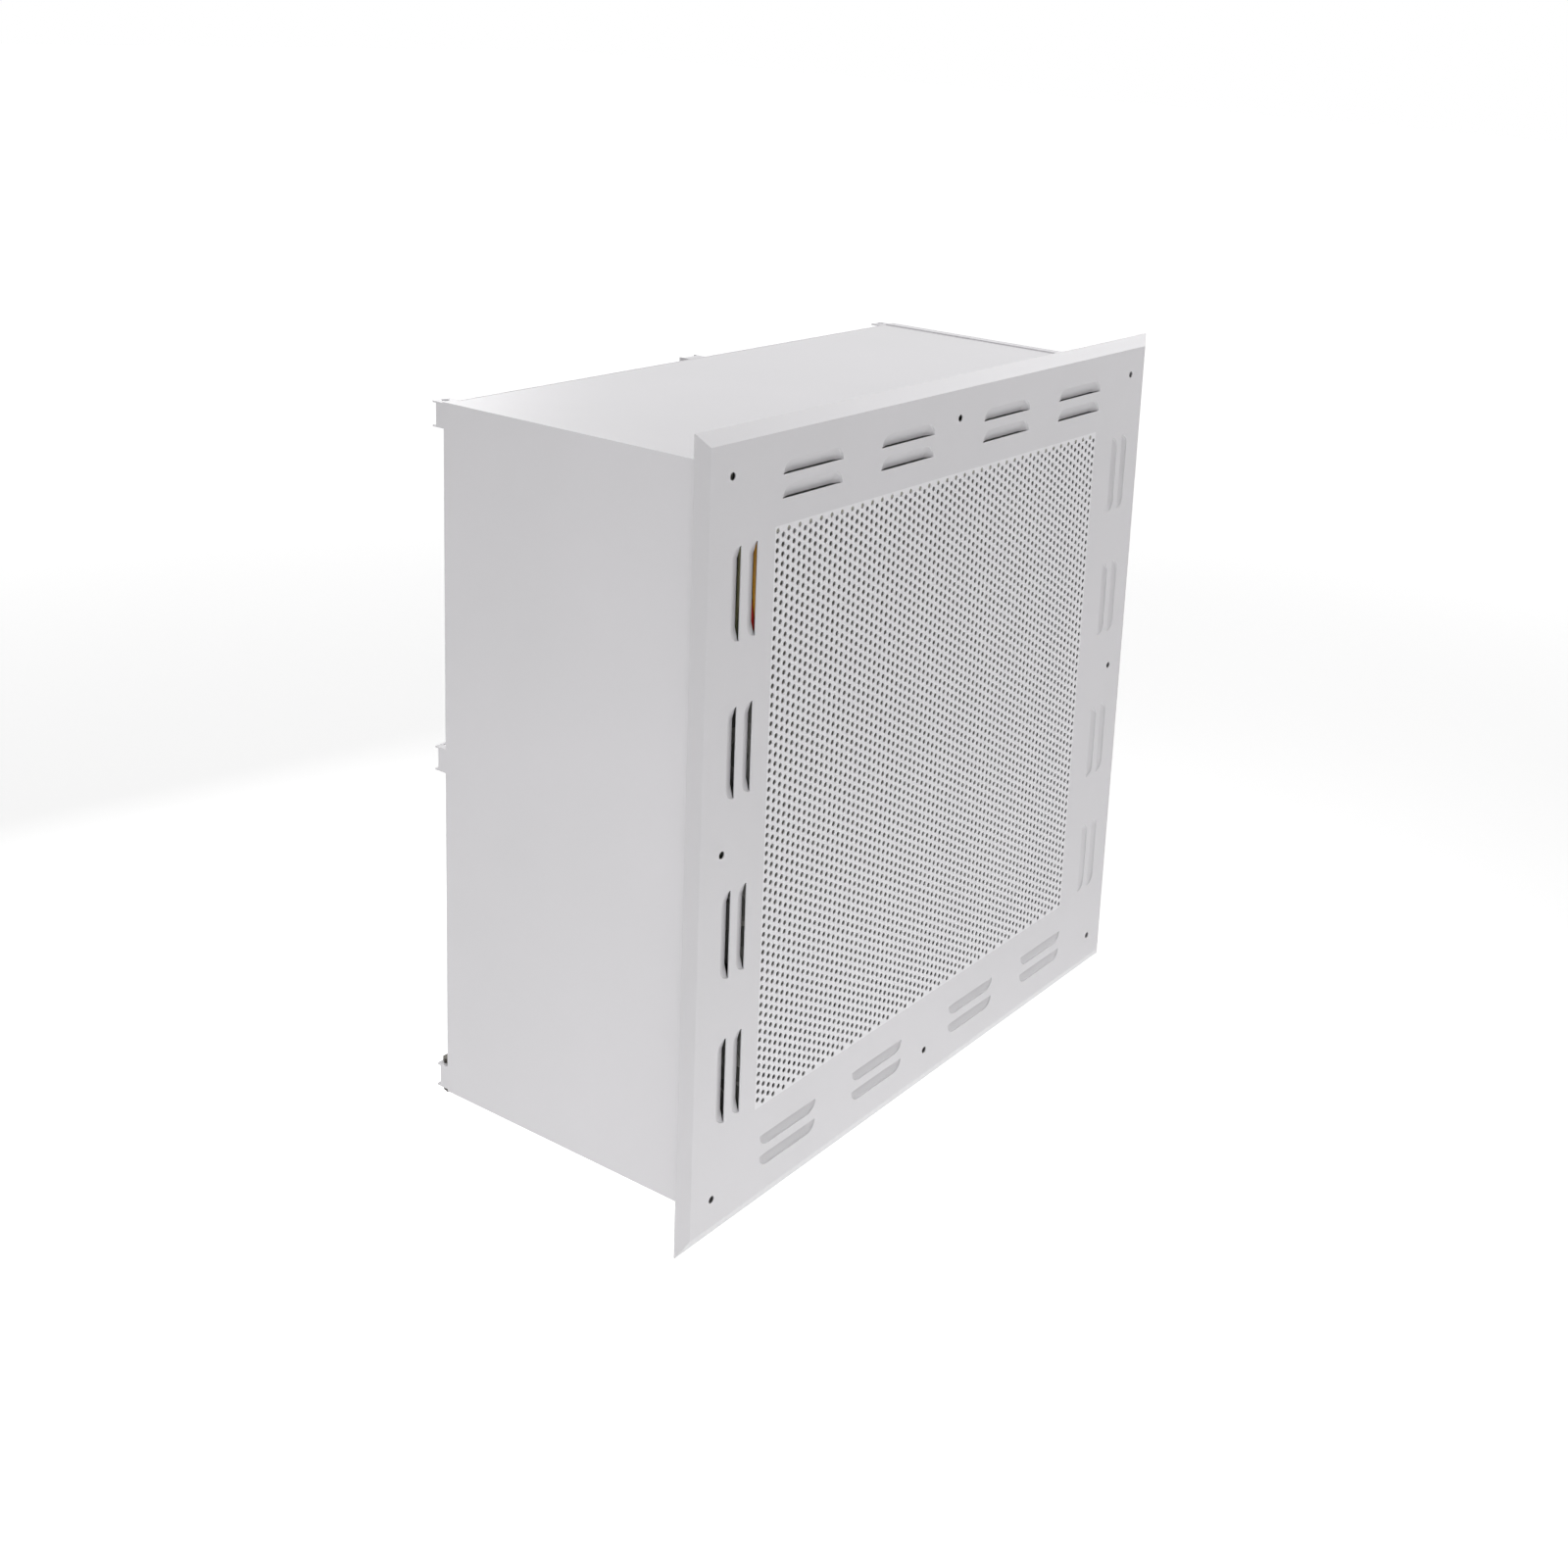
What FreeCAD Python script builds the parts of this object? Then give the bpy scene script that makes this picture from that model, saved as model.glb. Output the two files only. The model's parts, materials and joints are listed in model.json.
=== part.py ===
"""Ceiling air outlet with its own fan and HEPA filter: louvred and perforated face, steel casing behind.

Frame: millimetres, the face looks along -Y, +Z is up, the origin is the middle of the face's screw pattern.
"""
import FreeCAD, Part
import math
import os
import re
import Sketcher

doc = FreeCAD.newDocument("air_outlet")

# Driving dimensions, one row each: alias, value in millimetres (or a count or an angle), what it is.
SIZES = [
    ("face", 667.0, "flat face between the rim folds"),
    ("rimrun", 11.5, "how far the folded rim runs outwards"),
    ("rimdrop", 6.0, "how far the folded rim falls back"),
    ("sheet", 1.2, "sheet steel of face, casing and plenum"),
    ("screwsquare", 615.0, "spacing of the corner screw holes, both ways"),
    ("screwhole", 6.5, "face screw hole diameter"),
    ("louvrelength", 77.0, "slit length of one louvre"),
    ("louvrereach", 11.0, "width of the pressed tongue, slit to bend"),
    ("louvredepth", 4.6, "how deep the tongue's free edge lies"),
    ("endflats", 3.0, "flats that draw each rounded end of a louvre"),
    ("kneereach", 3.0, "width of the steep strip beside the bend"),
    ("kneedepth", 2.4, "fall of that strip"),
    ("slitsquare", 597.0, "distance between opposite outer slits"),
    ("slitstep", 19.5, "step from the outer slit to the inner slit"),
    ("groupnear", 155.4, "spacing of the two middle louvre groups"),
    ("groupfar", 416.0, "spacing of the two end louvre groups"),
    ("fieldpitch", 48.0, "hole pitch along a column of the drawn field"),
    ("fieldhole", 27.0, "width of one drawn opening"),
    ("fieldcolumns", 12.0, "columns of openings"),
    ("fieldrows", 10.0, "openings in a column"),
    ("seal", 3.0, "foam seal thickness when pressed"),
    ("sealwidth", 12.0, "foam seal width"),
    ("casing", 634.0, "casing width and height over the side panels"),
    ("bodydepth", 302.0, "face plane to the casing's rear edge"),
    ("seamlap", 12.0, "side panel lip that laps the top and bottom"),
    ("frontflange", 16.0, "casing front flange, turned outwards"),
    ("rearflange", 20.0, "casing rear flange, turned inwards"),
    ("coverinset", 1.0, "rear cover edge inside the casing edge"),
    ("coverscrew", 4.0, "rear cover screw shank"),
    ("lugwide", 18.0, "hanging lug, along the wall's normal"),
    ("lugtall", 22.0, "hanging lug, along the wall"),
    ("lugweb", 9.0, "height of the lug's closed side"),
    ("lugreach", 13.0, "height of the lug's two cheeks"),
    ("lugsheet", 1.5, "sheet of lugs and brackets"),
    ("lugbolt", 6.0, "cross bolt shank"),
    ("boltend", 3.0, "lug bolt end beyond its nut"),
    ("boltroom", 6.0, "lug base to the cross bolt's axis, less the base sheet"),
    ("tabwide", 30.0, "screw tab, along the wall"),
    ("tabreach", 19.0, "screw tab, away from the wall"),
    ("tableg", 18.0, "screw tab leg on the wall"),
    ("tabset", 9.0, "face plane to the screw tab's front"),
    ("nutsize", 10.0, "screw tab nut, across and long"),
    ("plenum", 524.0, "plenum box, outside"),
    ("plenumrear", 231.0, "face plane to the plenum's back plate"),
    ("plenumlip", 8.0, "plenum front lip, turned inwards"),
    ("filter", 500.0, "filter frame, outside"),
    ("filterdepth", 69.0, "filter frame depth"),
    ("filteredge", 15.0, "filter frame rail"),
    ("filterset", 28.0, "face plane to the filter's front"),
    ("filtergasket", 6.0, "gasket behind the filter"),
    ("packinset", 5.0, "pleat tips below the frame's edge"),
    ("pleats", 20.0, "drawn pleats"),
    ("pleatfall", 8.0, "drawn depth of the pleat valleys"),
    ("seatreach", 24.0, "filter seat, away from the plenum wall"),
    ("seatleg", 16.0, "filter seat leg on the wall"),
    ("clampwide", 24.0, "filter clamp width"),
    ("clampreach", 12.0, "filter clamp over the filter rail"),
    ("clampleg", 14.0, "filter clamp leg on the plenum wall"),
    ("clampsheet", 2.0, "filter clamp sheet"),
    ("inletbore", 158.0, "fan inlet ring, smallest bore"),
    ("inletmouth", 180.0, "fan inlet ring, mouth"),
    ("inletcollar", 22.0, "fan inlet ring, flange width"),
    ("inletdepth", 24.0, "fan inlet ring, into the plenum"),
    ("wheel", 280.0, "fan wheel diameter"),
    ("wheelwidth", 60.0, "fan wheel, between its discs"),
    ("wheeldisc", 1.5, "fan wheel disc sheet"),
    ("wheeleye", 168.0, "fan wheel collar bore"),
    ("wheelcollar", 9.0, "fan wheel collar height"),
    ("blades", 7.0, "fan blades"),
    ("bladesheet", 2.0, "fan blade thickness"),
    ("bladeinner", 96.0, "radius where a blade starts"),
    ("bladesweep", 34.0, "angle a blade sweeps back, degrees"),
    ("rotor", 102.0, "motor rotor can, outside"),
    ("rotorwall", 5.0, "motor rotor can wall"),
    ("rotorlength", 52.0, "motor rotor can length"),
    ("rotorrim", 12.0, "rotor rim that carries the wheel"),
    ("rimsheet", 3.0, "rotor rim thickness"),
    ("airgap", 1.0, "motor air gap"),
    ("corelength", 28.0, "stator core length"),
    ("hub", 36.0, "stator hub outside"),
    ("statorflange", 96.0, "stator mounting flange"),
    ("flangethick", 6.0, "stator flange thickness"),
    ("flangegap", 5.0, "stator flange to rotor rim"),
    ("shaft", 12.0, "motor shaft diameter"),
    ("shaftfit", 0.03, "radial clearance of shaft in bearing"),
    ("bearing", 28.0, "bearing outside diameter"),
    ("bearingwidth", 8.0, "bearing width"),
    ("strapwide", 40.0, "motor mount strap width"),
    ("strapsheet", 3.0, "motor mount strap sheet"),
    ("strapspan", 330.0, "motor mount, over its legs"),
    ("strapfoot", 20.0, "motor mount foot"),
    ("wheelgap", 12.0, "inlet ring end to the wheel's front disc"),
    ("staywide", 44.0, "plenum stay width"),
    ("stayset", 128.0, "face plane to the plenum stay"),
    ("stayfoot", 26.0, "plenum stay foot"),
    ("capacitor", 30.0, "capacitor diameter"),
    ("capacitorlength", 62.0, "capacitor length"),
    ("capacitorx", 150.0, "capacitor axis, sideways"),
    ("capacitorz", -150.0, "capacitor lower end"),
    ("clipsheet", 1.0, "capacitor clip sheet"),
    ("clipwide", 16.0, "capacitor clip width"),
    ("boxwide", 110.0, "terminal box width"),
    ("boxtall", 80.0, "terminal box height"),
    ("boxdeep", 40.0, "terminal box depth with its lid"),
    ("boxwall", 2.5, "terminal box wall"),
    ("boxx", -150.0, "terminal box middle, sideways"),
    ("boxz", 150.0, "terminal box middle, upwards"),
    ("gland", 20.0, "cable gland thread"),
    ("glandhex", 24.0, "cable gland across flats"),
    ("glandthick", 7.0, "cable gland hexagon thickness"),
    ("glanddome", 14.0, "cable gland dome length"),
    ("glandbore", 10.0, "cable gland bore"),
    ("wire", 3.4, "motor lead outside diameter"),
    ("cable", 9.0, "motor cable outside diameter"),
    ("grommet", 16.0, "lead hole in the plenum wall"),
    ("leady", 140.0, "face plane to the cable hole"),
    ("leadz", 232.0, "cable hole, upwards"),
    ("leadpitch", 4.4, "spacing of the leads side by side"),
    ("leadfront", 5.5, "front limit for the leads"),
    ("connector", 12.0, "lead connector, off the wall"),
    ("connectorlong", 26.0, "lead connector, length"),
    ("connectorwide", 22.0, "lead connector, width"),
    ("ringsheet", 1.5, "fan inlet ring sheet"),
    ("clampplace", 100.0, "filter clamp from the wall's middle"),
    ("seatfit", 0.3, "clearance round screws and seated round pieces"),
]

sheet = doc.addObject("Spreadsheet::Sheet", "Sizes")
NAMES = []
for row, (alias, value, meaning) in enumerate(SIZES, start=1):
    sheet.set("A%d" % row, alias)
    sheet.set("B%d" % row, "%g" % value)
    sheet.setAlias("B%d" % row, alias)
    sheet.set("C%d" % row, meaning)
    NAMES.append(alias)
doc.recompute()

WORD = re.compile(r"\b(" + "|".join(NAMES) + r")\b")


def bound(text):
    """The same sum with every alias pointed at its cell."""
    return WORD.sub(r"Sizes.\1", text)


def num(text):
    """Value of a sum of aliases, as a plain number."""
    value = sheet.evalExpression(bound(text))
    return float(getattr(value, "Value", value))


# Places that several pieces share.
CASE = "(casing/2)"
WALL = "(casing/2 - sheet)"
TOPWALL = "(casing/2 - 2*sheet)"
FRONT = "(sheet + seal)"
REAR = "bodydepth"
COVER = "(bodydepth + sheet)"
SEALOUT = "(casing/2 + frontflange - lugsheet)"
SEALIN = "(casing/2 + frontflange - lugsheet - sealwidth)"
PLENUM = "(plenum/2)"
BACKPLATE = "(plenumrear - sheet)"
FILTERBACK = "(filterset + filterdepth)"
SEAT = "(filterset + filterdepth + filtergasket)"
INLETEND = "(plenumrear - inletdepth)"
DISCBACK = "(plenumrear - inletdepth - wheelgap + wheelcollar)"
WHEELTOP = "(plenumrear - inletdepth - wheelgap)"
WHEELLOW = "(plenumrear - inletdepth - wheelgap - wheeldisc - wheelwidth)"
RIMBACK = "(plenumrear - inletdepth - wheelgap - 2*wheeldisc - wheelwidth)"
STATORBACK = "(plenumrear - inletdepth - wheelgap - 2*wheeldisc - wheelwidth - rimsheet - flangegap)"

finished = []


def finish(thing, label):
    """Names a finished piece; the name is also its file's."""
    thing.Label = label
    finished.append(thing)
    return thing


def new_body(name):
    return doc.addObject("PartDesign::Body", name)


def origin_plane(body, role):
    return [part for part in body.Origin.OriginFeatures if part.Role == role][0]


def new_sketch(body, name, role, along):
    """Sketch on one of the body's own planes, moved by a bound distance along the plane's normal."""
    drawing = body.newObject("Sketcher::SketchObject", name)
    drawing.AttachmentSupport = [(origin_plane(body, role), "")]
    drawing.MapMode = "FlatFace"
    drawing.setExpression("AttachmentOffset.Base.z", bound(along))
    return drawing


def hold(drawing, kind, line, point, text):
    """Binds one coordinate of a sketch point, measured from the origin, to a sum of aliases."""
    value = num(text)
    if text == "0":
        axis = -2 if kind == "DistanceX" else -1
        drawing.addConstraint(Sketcher.Constraint("PointOnObject", line, point, axis))
    elif value >= 0:
        index = drawing.addConstraint(Sketcher.Constraint(kind, -1, 1, line, point, value))
        drawing.setExpression("Constraints[%d]" % index, bound(text))
    else:
        index = drawing.addConstraint(Sketcher.Constraint(kind, line, point, -1, 1, -value))
        drawing.setExpression("Constraints[%d]" % index, bound("-(" + text + ")"))


def vector(first, second):
    return FreeCAD.Vector(first, second, 0)


def draw_loop(drawing, corners):
    """Closed chain of straight lines; gives the number of its first line."""
    first = drawing.GeometryCount
    count = len(corners)
    for place in range(count):
        start = corners[place]
        end = corners[(place + 1) % count]
        drawing.addGeometry(Part.LineSegment(vector(*start), vector(*end)), False)
    for place in range(count):
        following = first + (place + 1) % count
        drawing.addConstraint(Sketcher.Constraint("Coincident", first + place, 2, following, 1))
    return first


def draw_rectangle(drawing, left, right, low, high):
    """Rectangle whose four sides are bound to sums of aliases."""
    ends = [num(text) for text in (left, right, low, high)]
    corners = [(ends[0], ends[2]), (ends[1], ends[2]), (ends[1], ends[3]), (ends[0], ends[3])]
    first = draw_loop(drawing, corners)
    for line, kind in enumerate(("Horizontal", "Vertical", "Horizontal", "Vertical")):
        drawing.addConstraint(Sketcher.Constraint(kind, first + line))
    hold(drawing, "DistanceX", first, 1, left)
    hold(drawing, "DistanceY", first, 1, low)
    hold(drawing, "DistanceX", first + 2, 1, right)
    hold(drawing, "DistanceY", first + 2, 1, high)


def draw_outline(drawing, corners):
    """Closed outline whose corners, given as pairs of sums, are all bound."""
    first = draw_loop(drawing, [(num(across), num(up)) for across, up in corners])
    for place, (across, up) in enumerate(corners):
        hold(drawing, "DistanceX", first + place, 1, across)
        hold(drawing, "DistanceY", first + place, 1, up)


def draw_circle(drawing, diameter, across=None, up=None):
    """Circle with a bound diameter, at the origin or at a bound place."""
    middle = vector(num(across) if across else 0, num(up) if up else 0)
    circle = Part.Circle(middle, FreeCAD.Vector(0, 0, 1), num(diameter) / 2)
    index = drawing.addGeometry(circle, False)
    if across is None and up is None:
        drawing.addConstraint(Sketcher.Constraint("Coincident", index, 3, -1, 1))
    else:
        hold(drawing, "DistanceX", index, 3, across)
        hold(drawing, "DistanceY", index, 3, up)
    size = drawing.addConstraint(Sketcher.Constraint("Diameter", index, num(diameter)))
    drawing.setExpression("Constraints[%d]" % size, bound(diameter))


def pad(body, drawing, length, backwards=False):
    step = body.newObject("PartDesign::Pad", drawing.Name + "_pad")
    step.Profile = drawing
    step.setExpression("Length", bound(length))
    step.Reversed = backwards
    drawing.Visibility = False
    return step


def pocket(body, drawing, length, backwards=False):
    step = body.newObject("PartDesign::Pocket", drawing.Name + "_pocket")
    step.Profile = drawing
    step.setExpression("Length", bound(length))
    step.Reversed = backwards
    drawing.Visibility = False
    return step


def revolve(body, drawing):
    """Full turn about the sketch's upright axis, which is the row's Y."""
    step = body.newObject("PartDesign::Revolution", drawing.Name + "_turn")
    step.Profile = drawing
    step.ReferenceAxis = (drawing, ["V_Axis"])
    step.Angle = 360
    drawing.Visibility = False
    return step


def block(body, name, across, deep, tall):
    """Straight piece of sheet between pairs of bound planes along X, Y and Z."""
    drawing = new_sketch(body, name, "XY_Plane", tall[0])
    draw_rectangle(drawing, across[0], across[1], deep[0], deep[1])
    return pad(body, drawing, "(" + tall[1] + ") - (" + tall[0] + ")")


def disc(body, name, diameter, bore, low, high):
    """Round plate or ring about the Y axis, between two bound depths."""
    drawing = new_sketch(body, name, "XZ_Plane", "-(" + low + ")")
    draw_circle(drawing, diameter)
    if bore:
        draw_circle(drawing, bore)
    return pad(body, drawing, "(" + high + ") - (" + low + ")", True)


def turned(name, label, corners):
    """Piece turned about the Y axis from an outline of radius and depth pairs."""
    body = new_body(name)
    drawing = new_sketch(body, name + "_outline", "XY_Plane", "0")
    draw_outline(drawing, corners)
    revolve(body, drawing)
    return finish(body, label)


def square_ring(name, label, outer, inner, low, high):
    """Flat square ring facing the front, between two bound depths."""
    body = new_body(name)
    drawing = new_sketch(body, name + "_outline", "XZ_Plane", "-(" + low + ")")
    draw_rectangle(drawing, "-(" + outer + ")", outer, "-(" + outer + ")", outer)
    draw_rectangle(drawing, "-(" + inner + ")", inner, "-(" + inner + ")", inner)
    pad(body, drawing, "(" + high + ") - (" + low + ")", True)
    return finish(body, label)


def shape_piece(label, shape):
    """A piece whose form is set by code from the same cells."""
    thing = doc.addObject("Part::Feature", label)
    thing.Shape = shape
    return finish(thing, label)


def placed(shape, quarter, across=0.0, deep=0.0, up=0.0):
    """Copy of a shape, moved and then turned by quarter turns about the Y axis."""
    copy = shape.copy()
    copy.translate(FreeCAD.Vector(across, deep, up))
    copy.rotate(FreeCAD.Vector(0, 0, 0), FreeCAD.Vector(0, 1, 0), 90.0 * quarter)
    return copy


# Face panel


def panel_pan():
    """Flat face with its four sloped rim strips, mitred at the corners."""
    half = num("face/2")
    outer = half + num("rimrun")
    thick = num("sheet")
    drop = num("rimdrop")
    slope = math.atan2(drop, num("rimrun"))
    fold = half - thick * math.tan(slope / 2)
    edge = fold + (drop - thick) / math.tan(slope)

    def square(reach, depth):
        corners = [(-reach, -reach), (reach, -reach), (reach, reach), (-reach, reach), (-reach, -reach)]
        return Part.makePolygon([FreeCAD.Vector(across, depth, up) for across, up in corners])

    outside = Part.makeLoft([square(half, 0), square(outer, drop)], True, True)
    hollow = Part.makeLoft([square(fold, thick), square(edge, drop)], True, True)
    return outside.cut(hollow)


def louvre_profile():
    """Corners of the pressed tongue's cross-section, as height above the slit and depth."""
    reach = num("louvrereach")
    knee = num("kneereach")
    thick = num("sheet")
    deep = num("louvredepth")
    fall = num("kneedepth")
    front = [(0, deep), (reach - knee, fall), (reach, 0)]
    return front + [(up, depth + thick) for up, depth in reversed(front)]


def louvre_section(along, angle):
    """The same corners on a plane through the slit's line, turned about the louvre's end."""
    lean = math.sin(math.radians(angle))
    rise = math.cos(math.radians(angle))
    return [FreeCAD.Vector(along + up * lean, depth, up * rise) for up, depth in louvre_profile()]


def end_angles():
    """Turning steps of a louvre's quarter-round end, which is drawn with flats."""
    flats = int(num("endflats"))
    return [90.0 * step / flats for step in range(flats + 1)]


def flat_face(corners):
    """Plane face through its corners, or nothing where they fall together."""
    distinct = []
    for corner in corners:
        if all(corner.distanceToPoint(other) > 1e-6 for other in distinct):
            distinct.append(corner)
    if len(distinct) < 3:
        return []
    return [Part.Face(Part.makePolygon(distinct + distinct[:1]))]


def louvre_tongue():
    """One tongue with quarter-round ends, slit along X at Z 0, bend above it."""
    half = num("louvrelength/2 - louvrereach")
    sections = [louvre_section(-half, -angle) for angle in end_angles()[::-1]]
    sections += [louvre_section(half, angle) for angle in end_angles()]
    faces = flat_face(sections[0]) + flat_face(sections[-1])
    count = len(sections[0])
    for near, far in zip(sections, sections[1:]):
        for place in range(count):
            after = (place + 1) % count
            faces += flat_face([near[place], near[after], far[after], far[place]])
    tongue = Part.Solid(Part.makeShell(faces))
    return tongue if tongue.Volume > 0 else tongue.reversed()


def louvre_blank():
    """The opening that a tongue is pressed out of."""
    half = num("louvrelength/2 - louvrereach")
    reach = num("louvrereach")
    outline = [FreeCAD.Vector(-half - reach, 0, 0)]
    for side in (-1, 1):
        angles = end_angles() if side > 0 else end_angles()[::-1]
        for angle in angles:
            across = side * (half + reach * math.sin(math.radians(angle)))
            outline.append(FreeCAD.Vector(across, 0, reach * math.cos(math.radians(angle))))
    outline = outline[1:]
    opening = Part.Face(Part.makePolygon(outline + outline[:1]))
    return opening.extrude(FreeCAD.Vector(0, num("sheet"), 0))


def louvre_places():
    """Quarter turn, place along the border and distance from the middle of every louvre."""
    along = [side * num(span) / 2 for span in ("groupnear", "groupfar") for side in (-1, 1)]
    lines = [num("slitsquare/2"), num("slitsquare/2 - slitstep")]
    return [(quarter, place, line) for quarter in range(4) for place in along for line in lines]


def field_openings():
    """Openings of the diffuser field, in columns that are staggered by half a pitch."""
    pitch = num("fieldpitch")
    step = pitch * math.sqrt(3) / 2
    columns = int(num("fieldcolumns"))
    rows = int(num("fieldrows"))
    radius = num("fieldhole/2")
    openings = []
    for column in range(columns):
        across = (column - (columns - 1) / 2) * step
        shift = 0.25 if column % 2 else -0.25
        for row in range(rows):
            up = (row - (rows - 1) / 2 + shift) * pitch
            corners = []
            for corner in range(7):
                angle = math.radians(60 * corner)
                place = FreeCAD.Vector(across + radius * math.cos(angle), 0, up + radius * math.sin(angle))
                corners.append(place)
            face = Part.Face(Part.makePolygon(corners))
            openings.append(face.extrude(FreeCAD.Vector(0, num("sheet"), 0)))
    return openings


def make_face_panel():
    pan = panel_pan()
    tongue = louvre_tongue()
    opening = louvre_blank()
    cutters = []
    tongues = []
    for quarter, along, line in louvre_places():
        cutters.append(placed(opening, quarter, along, 0, line))
        tongues.append(placed(tongue, quarter, along, 0, line))
    half = num("screwsquare/2")
    for across, up in EIGHT:
        middle = FreeCAD.Vector(across * half, 0, up * half)
        cutters.append(Part.makeCylinder(num("screwhole/2"), num("sheet"), middle, FreeCAD.Vector(0, 1, 0)))
    cutters += field_openings()
    sheet_part = pan.cut(Part.makeCompound(cutters))
    return shape_piece("face_panel", sheet_part.fuse(tongues).removeSplitter())


# Corners and side middles, going round; the same eight places carry screws, tabs and lugs.
EIGHT = [(-1, 1), (0, 1), (1, 1), (1, 0), (1, -1), (0, -1), (-1, -1), (-1, 0)]


# Casing


def make_side_panel(label, side):
    """Side wall with a flange at the front, a flange at the rear and a lip over top and bottom."""
    body = new_body(label + "_body")

    def span(near, far):
        ends = [near, far] if side > 0 else ["-(" + far + ")", "-(" + near + ")"]
        return ends

    behind = "(sheet + seal + sheet)"
    block(body, label + "_wall", span(WALL, CASE), (behind, REAR), ("-" + CASE, CASE))
    flange = span(WALL, "(casing/2 + frontflange)")
    block(body, label + "_front", flange, (FRONT, behind), ("-" + TOPWALL, TOPWALL))
    inner = span("(casing/2 - sheet - rearflange)", WALL)
    limit = "(casing/2 - 2*sheet - rearflange)"
    block(body, label + "_rear", inner, ("(bodydepth - sheet)", REAR), ("-" + limit, limit))
    lip = span("(casing/2 - seamlap)", WALL)
    block(body, label + "_lip_top", lip, (behind, REAR), (WALL, CASE))
    block(body, label + "_lip_low", lip, (behind, REAR), ("-" + CASE, "-" + WALL))
    mark = "(" if side > 0 else "-"
    drill_flange(body, label + "_holes", [place for place in cover_places()[:4] if place[0][:1] == mark])
    return finish(body, label)


def make_cross_panel(label, side):
    """Top or bottom wall, under the side panels' lips, with its front and rear flanges."""
    body = new_body(label + "_body")

    def span(near, far):
        ends = [near, far] if side > 0 else ["-(" + far + ")", "-(" + near + ")"]
        return ends

    behind = "(sheet + seal + sheet)"
    outer = "(casing/2 + frontflange)"
    block(body, label + "_wall", ("-" + WALL, WALL), (behind, REAR), span(TOPWALL, WALL))
    block(body, label + "_front", ("-" + outer, outer), (FRONT, behind), span(TOPWALL, outer))
    inner = span("(casing/2 - 2*sheet - rearflange)", TOPWALL)
    block(body, label + "_rear", ("-" + WALL, WALL), ("(bodydepth - sheet)", REAR), inner)
    mark = "(" if side > 0 else "-"
    drill_flange(body, label + "_holes", [place for place in cover_places()[4:] if place[1][:1] == mark])
    return finish(body, label)


def cover_places():
    """Across and up sums of the rear cover's screws, over the middle of the casing's rear flanges."""
    line = "(casing/2 - sheet - rearflange/2)"
    near = "(casing/4)"
    sides = [(a + line, b + near) for a in ("-", "") for b in ("-", "")]
    return sides + [(b, a) for a, b in sides]


def make_rear_cover():
    """Plate over the casing's rear, with the cable hole and the screw holes."""
    body = new_body("rear_cover_body")
    drawing = new_sketch(body, "rear_cover_outline", "XZ_Plane", "-(" + REAR + ")")
    edge = "(casing/2 - coverinset)"
    draw_rectangle(drawing, "-" + edge, edge, "-" + edge, edge)
    pad(body, drawing, "sheet", True)
    hole = new_sketch(body, "rear_cover_holes", "XZ_Plane", "-(" + REAR + ")")
    draw_circle(hole, "(gland + 2*seatfit)", "boxx", "boxz")
    for across, up in cover_places():
        draw_hexagon(hole, "(coverscrew + 2*seatfit)", across, up)
    pocket(body, hole, "sheet")
    return finish(body, "rear_cover")


def drill_flange(body, name, places):
    """Screw holes through a rear flange."""
    holes = new_sketch(body, name, "XZ_Plane", "-(bodydepth - sheet)")
    for across, up in places:
        draw_hexagon(holes, "(coverscrew + 2*seatfit)", across, up)
    pocket(body, holes, "sheet")


def prism(sides, radius, low, high):
    """Straight many-sided rod along Y."""
    corners = []
    for corner in range(sides + 1):
        angle = 2 * math.pi * corner / sides
        corners.append(FreeCAD.Vector(radius * math.cos(angle), low, radius * math.sin(angle)))
    return Part.Face(Part.makePolygon(corners)).extrude(FreeCAD.Vector(0, high - low, 0))


def ring_prism(sides, outer, inner, low, high):
    """Straight many-sided tube along Y."""
    return prism(sides, outer, low, high).cut(prism(sides, inner, low, high))


def screw(shank, length, head, height):
    """Pan-head screw along +Y: shank below Y 0, head above it."""
    return prism(6, shank / 2, -length, 0).fuse(prism(8, head / 2, 0, height)).removeSplitter()


def moved(shape, across, deep, up):
    copy = shape.copy()
    copy.translate(FreeCAD.Vector(across, deep, up))
    return copy


def make_cover_screws():
    shank = num("coverscrew")
    one = screw(shank, 2 * num("sheet") + shank, 2 * shank, 0.6 * shank)
    places = [(num(across), num(up)) for across, up in cover_places()]
    return shape_piece("cover_screws", Part.makeCompound([moved(one, a, num(COVER), b) for a, b in places]))


# The eight places going round the casing: name, quarter turn from the right wall, place along that wall.
CORNER = "(casing/2 - coverinset - lugtall/2)"
ROUND = [
    ("right", 0, "0"),
    ("bottom", 1, "0"),
    ("left", 2, "0"),
    ("top", 3, "0"),
    ("top_right", 0, CORNER),
    ("bottom_right", 0, "-" + CORNER),
    ("bottom_left", 2, CORNER),
    ("top_left", 2, "-" + CORNER),
]


def turn_body(body, quarter):
    """Turns a piece drawn at the right wall to its own wall."""
    turned_by = FreeCAD.Rotation(FreeCAD.Vector(0, 1, 0), 90 * quarter)
    body.Placement = FreeCAD.Placement(FreeCAD.Vector(0, 0, 0), turned_by)


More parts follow.
